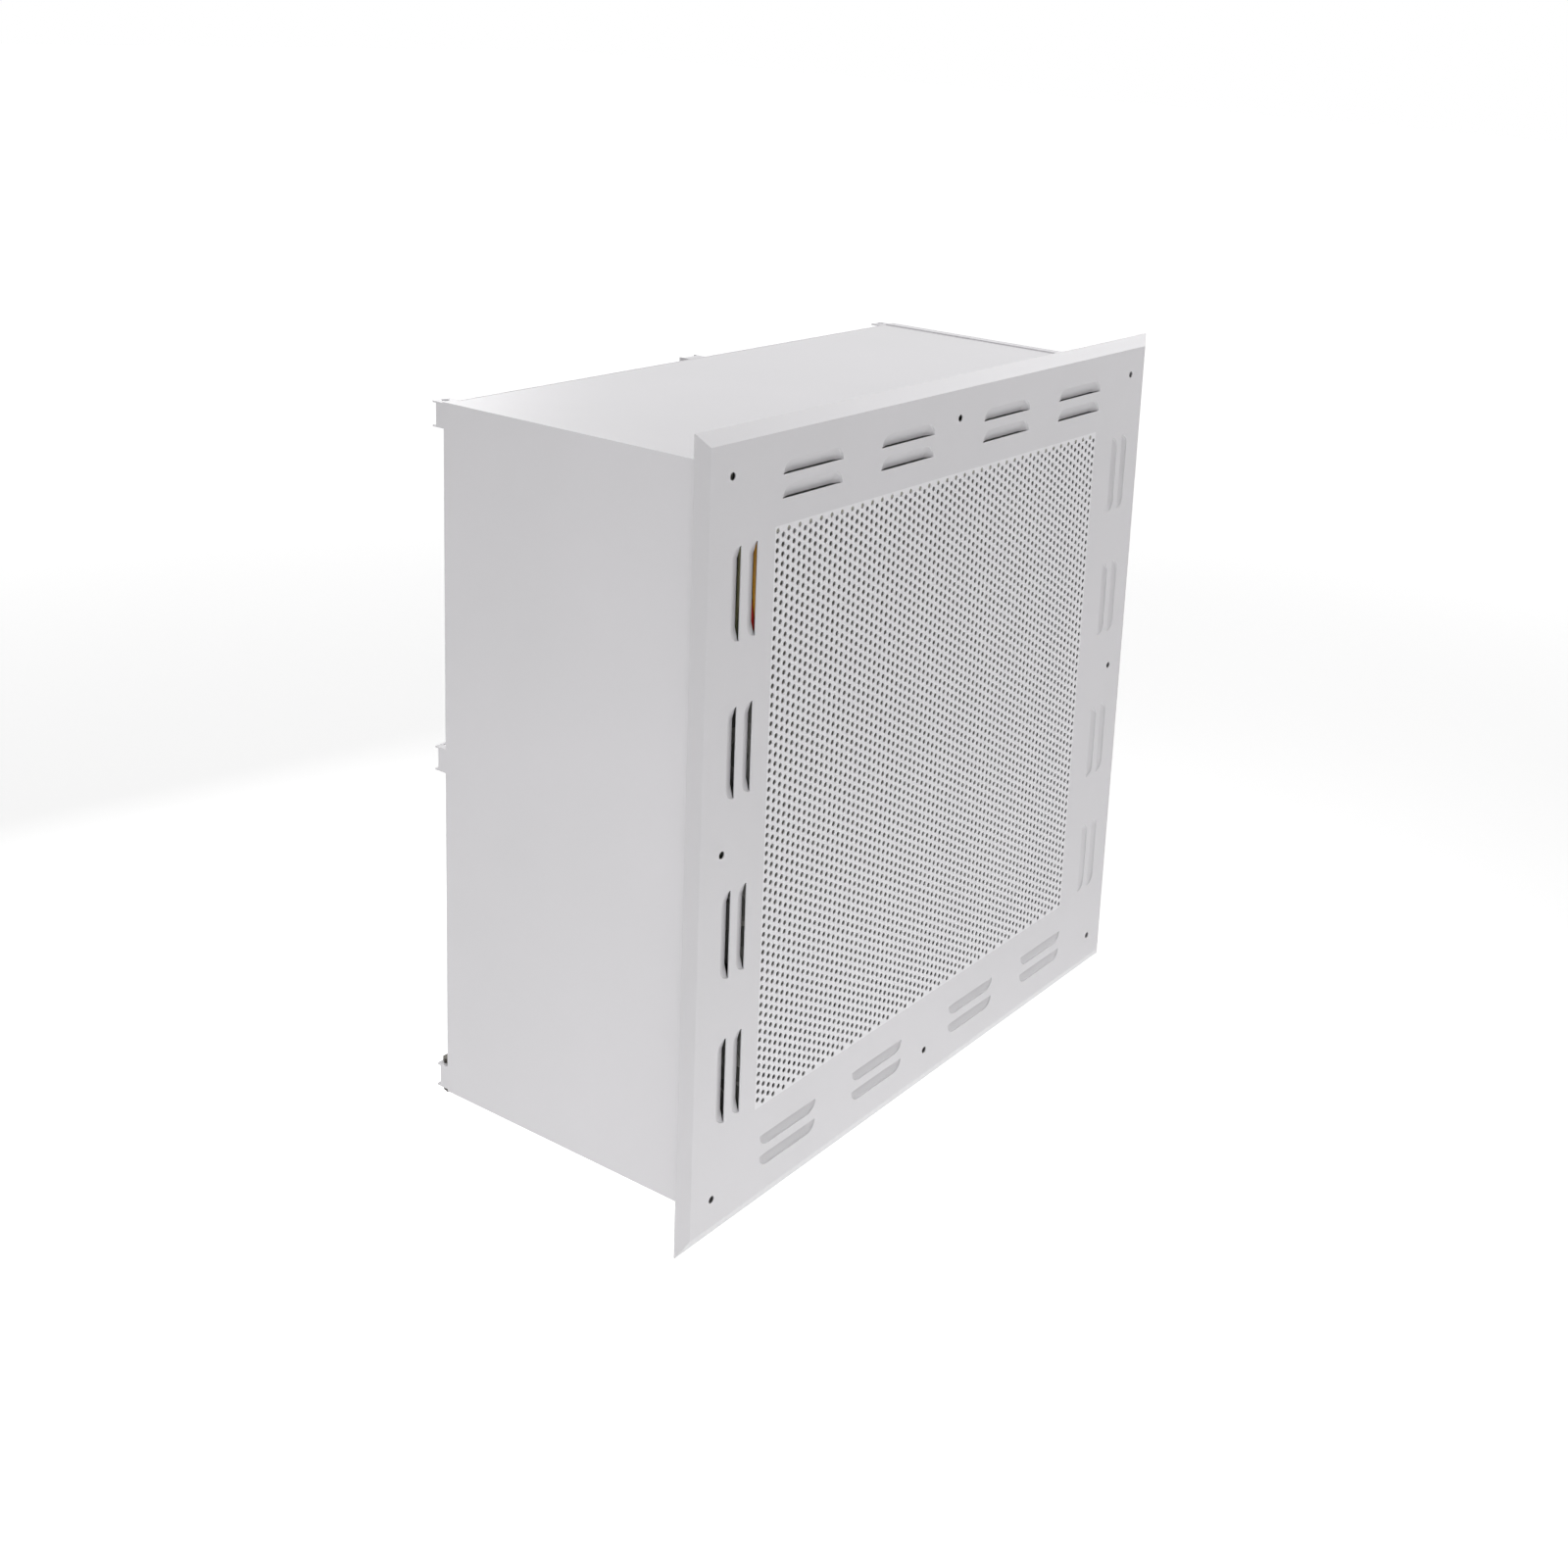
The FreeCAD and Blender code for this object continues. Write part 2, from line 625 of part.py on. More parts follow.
def make_lug(name, quarter, along):
    """Folded hanging lug on the rear cover: base, closed outer side and two cheeks with a bolt hole."""
    body = new_body("lug_" + name + "_body")
    edge = "(casing/2 - coverinset)"
    inner = "(casing/2 - coverinset - lugwide)"
    low = "(" + along + " - lugtall/2)"
    high = "(" + along + " + lugtall/2)"
    base = "(bodydepth + sheet + lugsheet)"
    tip = "(bodydepth + sheet + lugreach)"
    block(body, "lug_" + name + "_base", (inner, edge), (COVER, base), (low, high))
    web = ("(casing/2 - coverinset - lugsheet)", edge)
    block(body, "lug_" + name + "_web", web, (COVER, "(bodydepth + sheet + lugweb)"), (low, high))
    block(body, "lug_" + name + "_low", (inner, edge), (COVER, tip), (low, low + " + lugsheet"))
    block(body, "lug_" + name + "_high", (inner, edge), (COVER, tip), (high + " - lugsheet", high))
    hole = new_sketch(body, "lug_" + name + "_hole", "XY_Plane", low)
    draw_hexagon(hole, "(lugbolt + 2*seatfit)", "(casing/2 - coverinset - lugwide/2)", BOLTLINE)
    pocket(body, hole, "lugtall", True)
    turn_body(body, quarter)
    return finish(body, "lug_" + name)


BOLTLINE = "(bodydepth + sheet + lugsheet + boltroom)"
BOLTED = ("top", "bottom_left")


def make_lug_bolts():
    """Cross bolts of the two lugs in use, each with its head on one cheek and its nut on the other."""
    radius = num("lugbolt/2")
    half = num("lugtall/2")
    head = 1.4 * radius
    nut = 1.7 * radius
    bolt = prism(10, radius, -half - nut - num("boltend"), half)
    top = prism(6, 1.9 * radius, half, half + head)
    bolt = bolt.fuse([top, prism(6, 1.9 * radius, -half - nut, -half)])
    bolt = bolt.removeSplitter()
    bolts = []
    for name, quarter, along in ROUND:
        if name not in BOLTED:
            continue
        copy = bolt.copy()
        copy.rotate(FreeCAD.Vector(0, 0, 0), FreeCAD.Vector(1, 0, 0), -90)
        copy.translate(FreeCAD.Vector(num("casing/2 - coverinset - lugwide/2"), num(BOLTLINE), num(along)))
        bolts.append(placed(copy, quarter))
    return shape_piece("lug_bolts", Part.makeCompound(bolts))


SCREWLINE = "(screwsquare/2)"
TABS = [
    ("right", 0, "0"),
    ("bottom", 1, "0"),
    ("left", 2, "0"),
    ("top", 3, "0"),
    ("top_right", 0, SCREWLINE),
    ("bottom_right", 0, "-" + SCREWLINE),
    ("bottom_left", 2, SCREWLINE),
    ("top_left", 2, "-" + SCREWLINE),
]


def inner_wall(quarter):
    """Inside of the wall a quarter turn points at: the top and bottom walls lie one sheet lower."""
    return TOPWALL if quarter % 2 else WALL


def make_tab(name, quarter, along):
    """Screw tab inside the casing's front: plate across the screw's line and a leg on the wall."""
    body = new_body("tab_" + name + "_body")
    wall = inner_wall(quarter)
    inner = "(casing/2 - sheet - tabreach)"
    if along == "0":
        low, high = "-(tabwide/2)", "(tabwide/2)"
    elif along.startswith("-"):
        low, high = "-" + TOPWALL, "(tabwide - " + TOPWALL + ")"
    else:
        low, high = "(" + TOPWALL + " - tabwide)", TOPWALL
    block(body, "tab_" + name + "_plate", (inner, wall), ("tabset", "(tabset + lugsheet)"), (low, high))
    leg = (wall[:-1] + " - lugsheet)", wall)
    block(body, "tab_" + name + "_leg", leg, ("tabset", "(tabset + tableg)"), (low, high))
    hole = new_sketch(body, "tab_" + name + "_hole", "XZ_Plane", "-(tabset)")
    draw_hexagon(hole, "(screwhole + 2*seatfit)", SCREWLINE, along)
    pocket(body, hole, "lugsheet")
    turn_body(body, quarter)
    return finish(body, "tab_" + name)


def make_tab_nuts():
    """Rivet nuts behind the tabs' holes."""
    size = num("nutsize")
    front = num("tabset + lugsheet")
    nut = ring_prism(8, size / 2, num("screwhole/2") / math.cos(math.pi / 8), front, front + size)
    nuts = []
    for name, quarter, along in TABS:
        nuts.append(placed(nut, quarter, num(SCREWLINE), 0, num(along)))
    return shape_piece("tab_nuts", Part.makeCompound(nuts))


# Plenum and filter


def make_plenum():
    """Folded and welded inner box: front lip, four walls, back plate with the inlet and screw holes."""
    body = new_body("plenum_body")
    tube = new_sketch(body, "plenum_walls", "XZ_Plane", "-" + FRONT)
    inner = "(plenum/2 - sheet)"
    draw_rectangle(tube, "-" + PLENUM, PLENUM, "-" + PLENUM, PLENUM)
    draw_rectangle(tube, "-" + inner, inner, "-" + inner, inner)
    pad(body, tube, "(plenumrear - sheet - seal)", True)
    lip = new_sketch(body, "plenum_lip", "XZ_Plane", "-" + FRONT)
    edge = "(plenum/2 - sheet - plenumlip)"
    draw_rectangle(lip, "-" + inner, inner, "-" + inner, inner)
    draw_rectangle(lip, "-" + edge, edge, "-" + edge, edge)
    pad(body, lip, "sheet", True)
    back = new_sketch(body, "plenum_back", "XZ_Plane", "-" + BACKPLATE)
    draw_rectangle(back, "-" + inner, inner, "-" + inner, inner)
    draw_circle(back, "(inletmouth + 2*ringsheet + 2*seatfit)")
    pad(body, back, "sheet", True)
    holes = new_sketch(body, "plenum_holes", "XZ_Plane", "-" + BACKPLATE)
    for across, up in ring_places() + foot_places():
        draw_hexagon(holes, "(coverscrew + 2*seatfit)", across, up)
    pocket(body, holes, "sheet")
    clamps = new_sketch(body, "plenum_clamps", "YZ_Plane", "-" + PLENUM)
    for along in ("-clampplace", "clampplace"):
        draw_hexagon(clamps, "(coverscrew + 2*seatfit)", CLAMPLINE, along)
    pocket(body, clamps, "plenum", True)
    level = new_sketch(body, "plenum_clamps_level", "XY_Plane", "-" + PLENUM)
    for along in ("-clampplace", "clampplace"):
        draw_hexagon(level, "(coverscrew + 2*seatfit)", along, CLAMPLINE)
    pocket(body, level, "plenum", True)
    lead = new_sketch(body, "plenum_lead_hole", "YZ_Plane", "-" + PLENUM)
    draw_circle(lead, "(grommet + 2*seatfit)", "leady", "leadz")
    pocket(body, lead, "sheet", True)
    return finish(body, "plenum")


CLAMPLINE = "(filterset - clampsheet - clampleg/2)"


def ring_places():
    """Across and up sums of the four inlet ring screws."""
    reach = "((inletmouth + inletcollar)/2*0.70711)"
    return [(a + reach, b + reach) for a in ("-", "") for b in ("-", "")]


def foot_places():
    """Across and up sums of the four motor mount screws."""
    reach = "(strapspan/2 + strapfoot/2)"
    return [(reach, "0"), ("0", reach), ("-" + reach, "0"), ("0", "-" + reach)]


def make_filter_seat():
    """Angle ring inside the plenum that the filter's gasket presses on."""
    body = new_body("filter_seat_body")
    wall = "(plenum/2 - sheet)"
    face = new_sketch(body, "filter_seat_face", "XZ_Plane", "-" + SEAT)
    edge = "(plenum/2 - sheet - seatreach)"
    draw_rectangle(face, "-" + wall, wall, "-" + wall, wall)
    draw_rectangle(face, "-" + edge, edge, "-" + edge, edge)
    pad(body, face, "sheet", True)
    leg = new_sketch(body, "filter_seat_leg", "XZ_Plane", "-" + SEAT)
    edge = "(plenum/2 - 2*sheet)"
    draw_rectangle(leg, "-" + wall, wall, "-" + wall, wall)
    draw_rectangle(leg, "-" + edge, edge, "-" + edge, edge)
    pad(body, leg, "seatleg", True)
    return finish(body, "filter_seat")


def make_filter_pack():
    """Pleated filter paper between the frame rails, its folds running upright."""
    half = num("filter/2 - filteredge")
    front = num("filterset + packinset")
    back = num(FILTERBACK) - num("packinset")
    count = int(num("pleats"))
    fall = num("pleatfall")
    width = 2 * half / count
    crest = []
    for pleat in range(count):
        start = -half + pleat * width
        crest += [(start, fall), (start + width / 2, 0)]
    crest.append((half, fall))
    points = [FreeCAD.Vector(across, front + deep, -half) for across, deep in crest]
    points += [FreeCAD.Vector(across, back - deep, -half) for across, deep in reversed(crest)]
    face = Part.Face(Part.makePolygon(points + points[:1]))
    return shape_piece("filter_pack", face.extrude(FreeCAD.Vector(0, 0, 2 * half)))


def wall_places():
    """Quarter turn and place along the wall of the eight filter clamps."""
    near = num("clampplace")
    return [(quarter, side * near) for quarter in range(4) for side in (-1, 1)]


def make_clamps():
    """Angle clamps between plenum wall and filter rail, drawn at the right wall and turned round."""
    wall = num("plenum/2 - sheet")
    rail = num("filter/2")
    thick = num("clampsheet")
    front = num("filterset") - thick
    wide = num("clampwide")
    leg = num("clampleg")
    reach = wall - rail + num("clampreach")
    plate = Part.makeBox(reach, thick, wide, FreeCAD.Vector(wall - reach, front, -wide / 2))
    upright = Part.makeBox(thick, leg, wide, FreeCAD.Vector(wall - thick, front - leg, -wide / 2))
    hole = num("coverscrew/2 + seatfit")
    line = num(CLAMPLINE)
    drill = prism(6, 1.1547 * hole, -thick, 0)
    drill.rotate(FreeCAD.Vector(0, 0, 0), FreeCAD.Vector(0, 0, 1), 90)
    drill.translate(FreeCAD.Vector(wall - thick, line, 0))
    one = plate.fuse(upright).cut(drill).removeSplitter()
    clamps = [placed(one, quarter, 0, 0, along) for quarter, along in wall_places()]
    return shape_piece("filter_clamps", Part.makeCompound(clamps))


def make_clamp_screws():
    """Screws through the clamps' legs and the plenum walls, heads inside."""
    shank = num("coverscrew")
    one = screw(shank, num("clampsheet + sheet") + shank, 2 * shank, 0.6 * shank)
    one.rotate(FreeCAD.Vector(0, 0, 0), FreeCAD.Vector(0, 0, 1), 90)
    one.translate(FreeCAD.Vector(num("plenum/2 - sheet - clampsheet"), num(CLAMPLINE), 0))
    screws = [placed(one, quarter, 0, 0, along) for quarter, along in wall_places()]
    return shape_piece("clamp_screws", Part.makeCompound(screws))


# Fan


def make_inlet_ring():
    """Drawn inlet nozzle: flange on the back plate's rear, mouth narrowing into the plenum."""
    thick = "ringsheet"
    flat = "(plenumrear + " + thick + ")"
    outer = "(inletmouth/2 + inletcollar)"
    mouth = "(inletmouth/2)"
    throat = "(inletbore/2)"
    neck = "(plenumrear - inletdepth*0.65)"
    corners = [(outer, REARPLATE), (outer, flat), (mouth, flat), (throat, neck), (throat, INLETEND)]
    corners += [("(inletbore/2 + ringsheet)", INLETEND), ("(inletbore/2 + ringsheet)", neck)]
    corners.append(("(inletmouth/2 + ringsheet)", REARPLATE))
    body = new_body("inlet_ring_body")
    drawing = new_sketch(body, "inlet_ring_outline", "XY_Plane", "0")
    draw_outline(drawing, corners)
    revolve(body, drawing)
    holes = new_sketch(body, "inlet_ring_holes", "XZ_Plane", "-" + REARPLATE)
    for across, up in ring_places():
        draw_hexagon(holes, "(coverscrew + 2*seatfit)", across, up)
    pocket(body, holes, "ringsheet")
    return finish(body, "inlet_ring")


REARPLATE = "(plenumrear)"


def make_plenum_screws():
    """Screws behind the back plate, through the inlet ring's flange and into the motor mount's feet."""
    shank = num("coverscrew")
    copies = []
    ring_set = (ring_places(), "(plenumrear + ringsheet)", "ringsheet")
    foot_set = (foot_places(), "plenumrear", "strapsheet")
    for spots, top, through in (ring_set, foot_set):
        one = screw(shank, num("sheet + coverscrew + " + through), 2 * shank, 0.6 * shank)
        copies += [moved(one, num(across), num(top), num(up)) for across, up in spots]
    return shape_piece("plenum_screws", Part.makeCompound(copies))


def blade_face(turn):
    """Outline of one backward-curved blade seen along the axis."""
    start = num("bladeinner")
    reach = num("wheel/2") - start
    sweep = math.radians(num("bladesweep"))
    half = num("bladesheet/2")
    steps = 5
    line = []
    for step in range(steps + 1):
        share = step / steps
        radius = start + reach * share
        angle = turn + sweep * share ** 1.15
        line.append((radius * math.cos(angle), radius * math.sin(angle)))
    near, far = [], []
    for place, (across, up) in enumerate(line):
        before = line[max(place - 1, 0)]
        after = line[min(place + 1, steps)]
        length = math.hypot(after[0] - before[0], after[1] - before[1])
        normal = (-(after[1] - before[1]) / length * half, (after[0] - before[0]) / length * half)
        near.append(FreeCAD.Vector(across + normal[0], 0, up + normal[1]))
        far.append(FreeCAD.Vector(across - normal[0], 0, up - normal[1]))
    points = near + far[::-1]
    return Part.Face(Part.makePolygon(points + points[:1]))


def make_impeller():
    """Fan wheel: disc on the motor's rim, seven blades, front disc with the inlet eye and its collar."""
    outer = num("wheel/2")
    thick = num("wheeldisc")
    low = num(WHEELLOW)
    high = low + num("wheelwidth")
    eye = num("wheeleye/2")
    count = int(num("blades"))
    sides = 4 * count
    middle = prism(sides, 1.01 * num("rotor/2 + seatfit"), low - thick, low)
    wheel = prism(sides, outer, low - thick, low).cut(middle)
    wheel = wheel.fuse(ring_prism(sides, outer, eye, high, high + thick))
    wheel = wheel.fuse(ring_prism(sides, eye + thick, eye, high, num(DISCBACK)))
    tall = FreeCAD.Vector(0, high - low, 0)
    for blade in range(count):
        face = blade_face(2 * math.pi * blade / count)
        face.translate(FreeCAD.Vector(0, low, 0))
        wheel = wheel.fuse(face.extrude(tall).common(prism(sides, outer, low, high)))
    return shape_piece("impeller", wheel.removeSplitter())


RIMFRONT = "(plenumrear - inletdepth - wheelgap - 2*wheeldisc - wheelwidth - rimsheet)"
CANEND = "(plenumrear - inletdepth - wheelgap - 2*wheeldisc - wheelwidth - rimsheet + rotorlength)"
WHEELROOM = "wheelgap - 2*wheeldisc - wheelwidth"
STATORFRONT = "(plenumrear - inletdepth - " + WHEELROOM + " - rimsheet - flangegap - flangethick)"
SHAFTROOM = "(shaft/2 + shaftfit)"
BEARROOM = "(bearing/2 + shaftfit)"
COREFRONT = "(" + CANEND + " - rotorwall - corelength - 6*airgap - bearingwidth)"
COREBACK = "(" + CANEND + " - rotorwall - 6*airgap - bearingwidth)"
HUBEND = "(" + CANEND + " - rotorwall - 3*airgap)"


def make_motor():
    """Outer-rotor motor: can with its rim, stator with flange, hub and core, shaft and two bearings."""
    can = "(rotor/2)"
    bore = "(rotor/2 - rotorwall)"
    cap = "(" + CANEND + " - rotorwall)"
    rim = "(rotor/2 + rotorrim)"
    corners = [(SHAFTROOM, cap), (bore, cap), (bore, RIMFRONT), (rim, RIMFRONT), (rim, RIMBACK)]
    corners += [(can, RIMBACK), (can, CANEND), (SHAFTROOM, CANEND)]
    turned("motor_rotor_body", "motor_rotor", corners)
    hub = "(hub/2)"
    core = "(rotor/2 - rotorwall - airgap)"
    corners = [(BEARROOM, STATORFRONT), ("(statorflange/2)", STATORFRONT), ("(statorflange/2)", STATORBACK)]
    corners += [(hub, STATORBACK), (hub, COREFRONT), (core, COREFRONT), (core, COREBACK), (hub, COREBACK)]
    corners += [(hub, HUBEND), (BEARROOM, HUBEND)]
    turned("motor_stator_body", "motor_stator", corners)
    body = new_body("motor_shaft_body")
    disc(body, "motor_shaft_round", "shaft", "", STATORFRONT, CANEND)
    finish(body, "motor_shaft")
    rings = []
    wide = num("bearingwidth")
    for low in (num(STATORFRONT), num(HUBEND) - wide):
        base = FreeCAD.Vector(0, low, 0)
        bore = Part.makeCylinder(num("shaft/2 + shaftfit"), wide, base, FreeCAD.Vector(0, 1, 0))
        rings.append(prism(16, num("bearing/2"), low, low + wide).cut(bore))
    shape_piece("bearings", Part.makeCompound(rings))


def make_motor_mount():
    """Crossed strap in front of the motor with four legs and feet on the back plate."""
    body = new_body("motor_mount_body")
    plane = ("(" + STATORFRONT + " - strapsheet)", STATORFRONT)
    arm = "(strapspan/2)"
    half = "(strapwide/2)"
    block(body, "mount_arm_level", ("-" + arm, arm), plane, ("-" + half, half))
    block(body, "mount_arm_upright", ("-" + half, half), plane, ("-" + arm, arm))
    deep = (STATORFRONT, BACKPLATE)
    foot = ("(" + BACKPLATE + " - strapsheet)", BACKPLATE)
    inner = "(strapspan/2 - strapsheet)"
    end = "(strapspan/2 + strapfoot)"
    for side in ("", "-"):
        name = "right" if side == "" else "left"
        upper = "top" if side == "" else "bottom"
        leg = (inner, arm) if side == "" else ("-" + arm, "-" + inner)
        toe = (inner, end) if side == "" else ("-" + end, "-" + inner)
        block(body, "mount_leg_" + name, leg, deep, ("-" + half, half))
        block(body, "mount_foot_" + name, toe, foot, ("-" + half, half))
        block(body, "mount_leg_" + upper, ("-" + half, half), deep, leg)
        block(body, "mount_foot_" + upper, ("-" + half, half), foot, toe)
    holes = new_sketch(body, "mount_holes", "XZ_Plane", "-" + foot[0])
    for across, up in foot_places():
        draw_hexagon(holes, "(coverscrew + 2*seatfit)", across, up)
    pocket(body, holes, "strapsheet")
    middle = new_sketch(body, "mount_middle", "XZ_Plane", "-" + plane[0])
    draw_circle(middle, "bearing")
    pocket(body, middle, "strapsheet")
    return finish(body, "motor_mount")


# Stays between plenum and casing


def make_stay(name, quarter):
    """Bent strip that carries the plenum on the casing wall and leaves the air channel open."""
    body = new_body("stay_" + name + "_body")
    wall = inner_wall(quarter)
    deep = ("stayset", "(stayset + stayfoot)")
    block(body, "stay_" + name + "_web", (PLENUM, wall), deep, ("-(lugsheet/2)", "(lugsheet/2)"))
    inner = (PLENUM, "(plenum/2 + lugsheet)")
    block(body, "stay_" + name + "_inner", inner, deep, ("-(lugsheet/2)", "(staywide/2)"))
    outer = (wall[:-1] + " - lugsheet)", wall)
    block(body, "stay_" + name + "_outer", outer, deep, ("-(staywide/2)", "(lugsheet/2)"))
    turn_body(body, quarter)
    return finish(body, "stay_" + name)


# Electrics


def make_capacitor():
    body = new_body("capacitor_body")
    drawing = new_sketch(body, "capacitor_round", "XY_Plane", "capacitorz")
    deep = "(plenumrear + clipsheet + seatfit + capacitor/2)"
    draw_circle(drawing, "capacitor", "capacitorx", deep)
    pad(body, drawing, "capacitorlength")
    return finish(body, "capacitor")


def make_capacitor_clip():
    """Round clip with a foot on the back plate."""
    body = new_body("capacitor_clip_body")
    low = "(capacitorz + capacitorlength/2 - clipwide/2)"
    drawing = new_sketch(body, "capacitor_clip_ring", "XY_Plane", low)
    deep = "(plenumrear + clipsheet + seatfit + capacitor/2)"
    draw_circle(drawing, "(capacitor + 2*seatfit + 2*clipsheet)", "capacitorx", deep)
    draw_circle(drawing, "(capacitor + 2*seatfit)", "capacitorx", deep)
    pad(body, drawing, "clipwide")
    foot = new_sketch(body, "capacitor_clip_foot", "XY_Plane", low)
    draw_rectangle(foot, "capacitorx", "(capacitorx + capacitor)", "plenumrear", "(plenumrear + clipsheet)")
    pad(body, foot, "clipwide")
    return finish(body, "capacitor_clip")


def make_terminal_box():
    """Open moulded box on the back plate and its push-on lid."""
    body = new_body("terminal_box_body")
    top = "(plenumrear + boxdeep - boxwall)"
    sides = ("(boxx - boxwide/2)", "(boxx + boxwide/2)")
    ends = ("(boxz - boxtall/2)", "(boxz + boxtall/2)")
    outline = new_sketch(body, "terminal_box_outline", "XZ_Plane", "-plenumrear")
    draw_rectangle(outline, sides[0], sides[1], ends[0], ends[1])
    pad(body, outline, "(boxdeep - boxwall)", True)
    hollow = new_sketch(body, "terminal_box_hollow", "XZ_Plane", "-(plenumrear + boxwall)")
    inner_sides = (sides[0] + " + boxwall", sides[1] + " - boxwall")
    inner_ends = (ends[0] + " + boxwall", ends[1] + " - boxwall")
    draw_rectangle(hollow, *inner_sides, *inner_ends)
    pocket(body, hollow, "boxdeep")
    entry = new_sketch(body, "terminal_box_entry", "YZ_Plane", sides[0])
    for place in ("-1.5", "-0.5", "+0.5", "+1.5"):
        draw_circle(entry, "(wire + 2*seatfit)", LEADLINE, "(boxz" + place + "*leadpitch)")
    pocket(body, entry, "boxwall", True)
    finish(body, "terminal_box")
    lid = new_body("terminal_lid_body")
    plate = new_sketch(lid, "terminal_lid_outline", "XZ_Plane", "-" + top)
    draw_rectangle(plate, sides[0], sides[1], ends[0], ends[1])
    draw_circle(plate, "(gland*0.7)", "boxx", "boxz")
    pad(lid, plate, "boxwall", True)
    finish(lid, "terminal_lid")


LEADLINE = "(plenumrear + boxdeep/2)"


def make_gland():
    """Cable inlet on the rear cover: threaded body with its dome, and the nut inside."""
    body = new_body("cable_gland_body")
    shoulder = COVER
    neck = "(bodydepth + sheet + glandthick)"
    tip = "(bodydepth + sheet + glandthick + glanddome)"
    flange = new_sketch(body, "cable_gland_shank", "XZ_Plane", "-(bodydepth - glandthick)")
    draw_circle(flange, "gland", "boxx", "boxz")
    draw_circle(flange, "glandbore", "boxx", "boxz")
    pad(body, flange, "(glandthick + sheet)", True)
    collar = new_sketch(body, "cable_gland_collar", "XZ_Plane", "-" + shoulder)
    draw_hexagon(collar, "glandhex", "boxx", "boxz")
    draw_circle(collar, "glandbore", "boxx", "boxz")
    pad(body, collar, "glandthick", True)
    dome = new_sketch(body, "cable_gland_dome", "XZ_Plane", "-" + neck)
    draw_circle(dome, "gland", "boxx", "boxz")
    draw_circle(dome, "glandbore", "boxx", "boxz")
    pad(body, dome, tip + " - " + neck, True)
    finish(body, "cable_gland")
    nut = new_body("gland_nut_body")
    outline = new_sketch(nut, "gland_nut_outline", "XZ_Plane", "-(bodydepth - glandthick + 1)")
    draw_hexagon(outline, "glandhex", "boxx", "boxz")
    draw_circle(outline, "(gland + 2*seatfit)", "boxx", "boxz")
    pad(nut, outline, "(glandthick - 1)", True)
    finish(nut, "gland_nut")


def draw_hexagon(drawing, flats, across, up):
    """Hexagon with a bound size across flats about a bound place."""
    half = "(" + flats + "/2)"
    side = "(" + flats + "*0.288675)"
    point = "(" + flats + "*0.57735)"
    corners = [("+" + point, "+0*" + half), ("+" + side, "+" + half), ("-" + side, "+" + half)]
    corners += [("-" + point, "+0*" + half), ("-" + side, "-" + half), ("+" + side, "-" + half)]
    draw_outline(drawing, [("(" + across + a + ")", "(" + up + b + ")") for a, b in corners])


def tube_along(points, diameter, sides):
    """Lead through a row of places, bent at each and drawn with flats."""
    path = Part.makePolygon(points)
    heading = points[1].sub(points[0]).normalize()
    across = heading.cross(FreeCAD.Vector(0.1, 0.2, 1)).normalize()
    up = heading.cross(across)
    corners = []
    for corner in range(sides + 1):
        angle = 2 * math.pi * corner / sides
        radius = diameter / 2
        corners.append(points[0] + across * (radius * math.cos(angle)) + up * (radius * math.sin(angle)))
    return path.makePipeShell([Part.makePolygon(corners)], True, True, 1)


def beside(line, shift):
    """A flat row of places moved sideways by the same distance everywhere."""
    rows = []
    last = len(line) - 1
    for place, (across, up) in enumerate(line):
        before = line[max(place - 1, 0)]
        after = line[min(place + 1, last)]
        normals = []
        for start, end in ((before, (across, up)), ((across, up), after)):
            length = math.hypot(end[0] - start[0], end[1] - start[1])
            if length:
                normals.append((-(end[1] - start[1]) / length, (end[0] - start[0]) / length))
        mean = [sum(part) / len(normals) for part in zip(*normals)]
        size = mean[0] ** 2 + mean[1] ** 2
        rows.append((across + shift * mean[0] / size, up + shift * mean[1] / size))
    return rows


LEADS = ("brown", "yellow", "red", "green")


def make_motor_cable():
    """Cable from the stator flange's edge through the plenum wall to the connector."""
    wall = -num("plenum/2")
    deep = num("leady")
    up = num("leadz")
    cable = num("cable")
    level = num(STATORBACK) - num("flangethick/2")
    start = num("statorflange/2 + seatfit") * math.sqrt(0.5)
    outside = num("wheel/2") * 0.95
    points = [FreeCAD.Vector(-start, level, start), FreeCAD.Vector(-outside, level, outside)]
    points += [FreeCAD.Vector(wall + 5 * cable, deep, up - cable), FreeCAD.Vector(wall + 3 * cable, deep, up)]
    points.append(FreeCAD.Vector(wall, deep, up))
    return shape_piece("motor_cable", tube_along(points, cable, 8))


def make_grommet():
    """Rubber ring in the plenum wall's cable hole, its lip inside."""
    sheet_wall = num("sheet")
    lip = num("lugsheet")
    neck = prism(12, num("grommet/2"), -sheet_wall, 0)
    ring = neck.fuse(prism(12, num("grommet/2") + lip, -sheet_wall - lip, -sheet_wall))
    ring = ring.cut(prism(12, 1.04 * num("cable/2 + seatfit"), -sheet_wall - lip, 0))
    ring.rotate(FreeCAD.Vector(0, 0, 0), FreeCAD.Vector(0, 0, 1), 90)
    ring.translate(FreeCAD.Vector(-num("plenum/2"), num("leady"), num("leadz")))
    return shape_piece("lead_grommet", ring.removeSplitter())


def make_connector():
    """Moulded connector on the plenum wall's outside, over the cable hole."""
    body = new_body("lead_connector_body")
    across = ("-(plenum/2 + connector)", "-(plenum/2)")
    deep = ("(leady - connectorlong/2)", "(leady + connectorlong/2)")
    tall = ("(leadz - connectorwide/2)", "(leadz + connectorwide/2)")
    block(body, "lead_connector_block", across, deep, tall)
    return finish(body, "lead_connector")


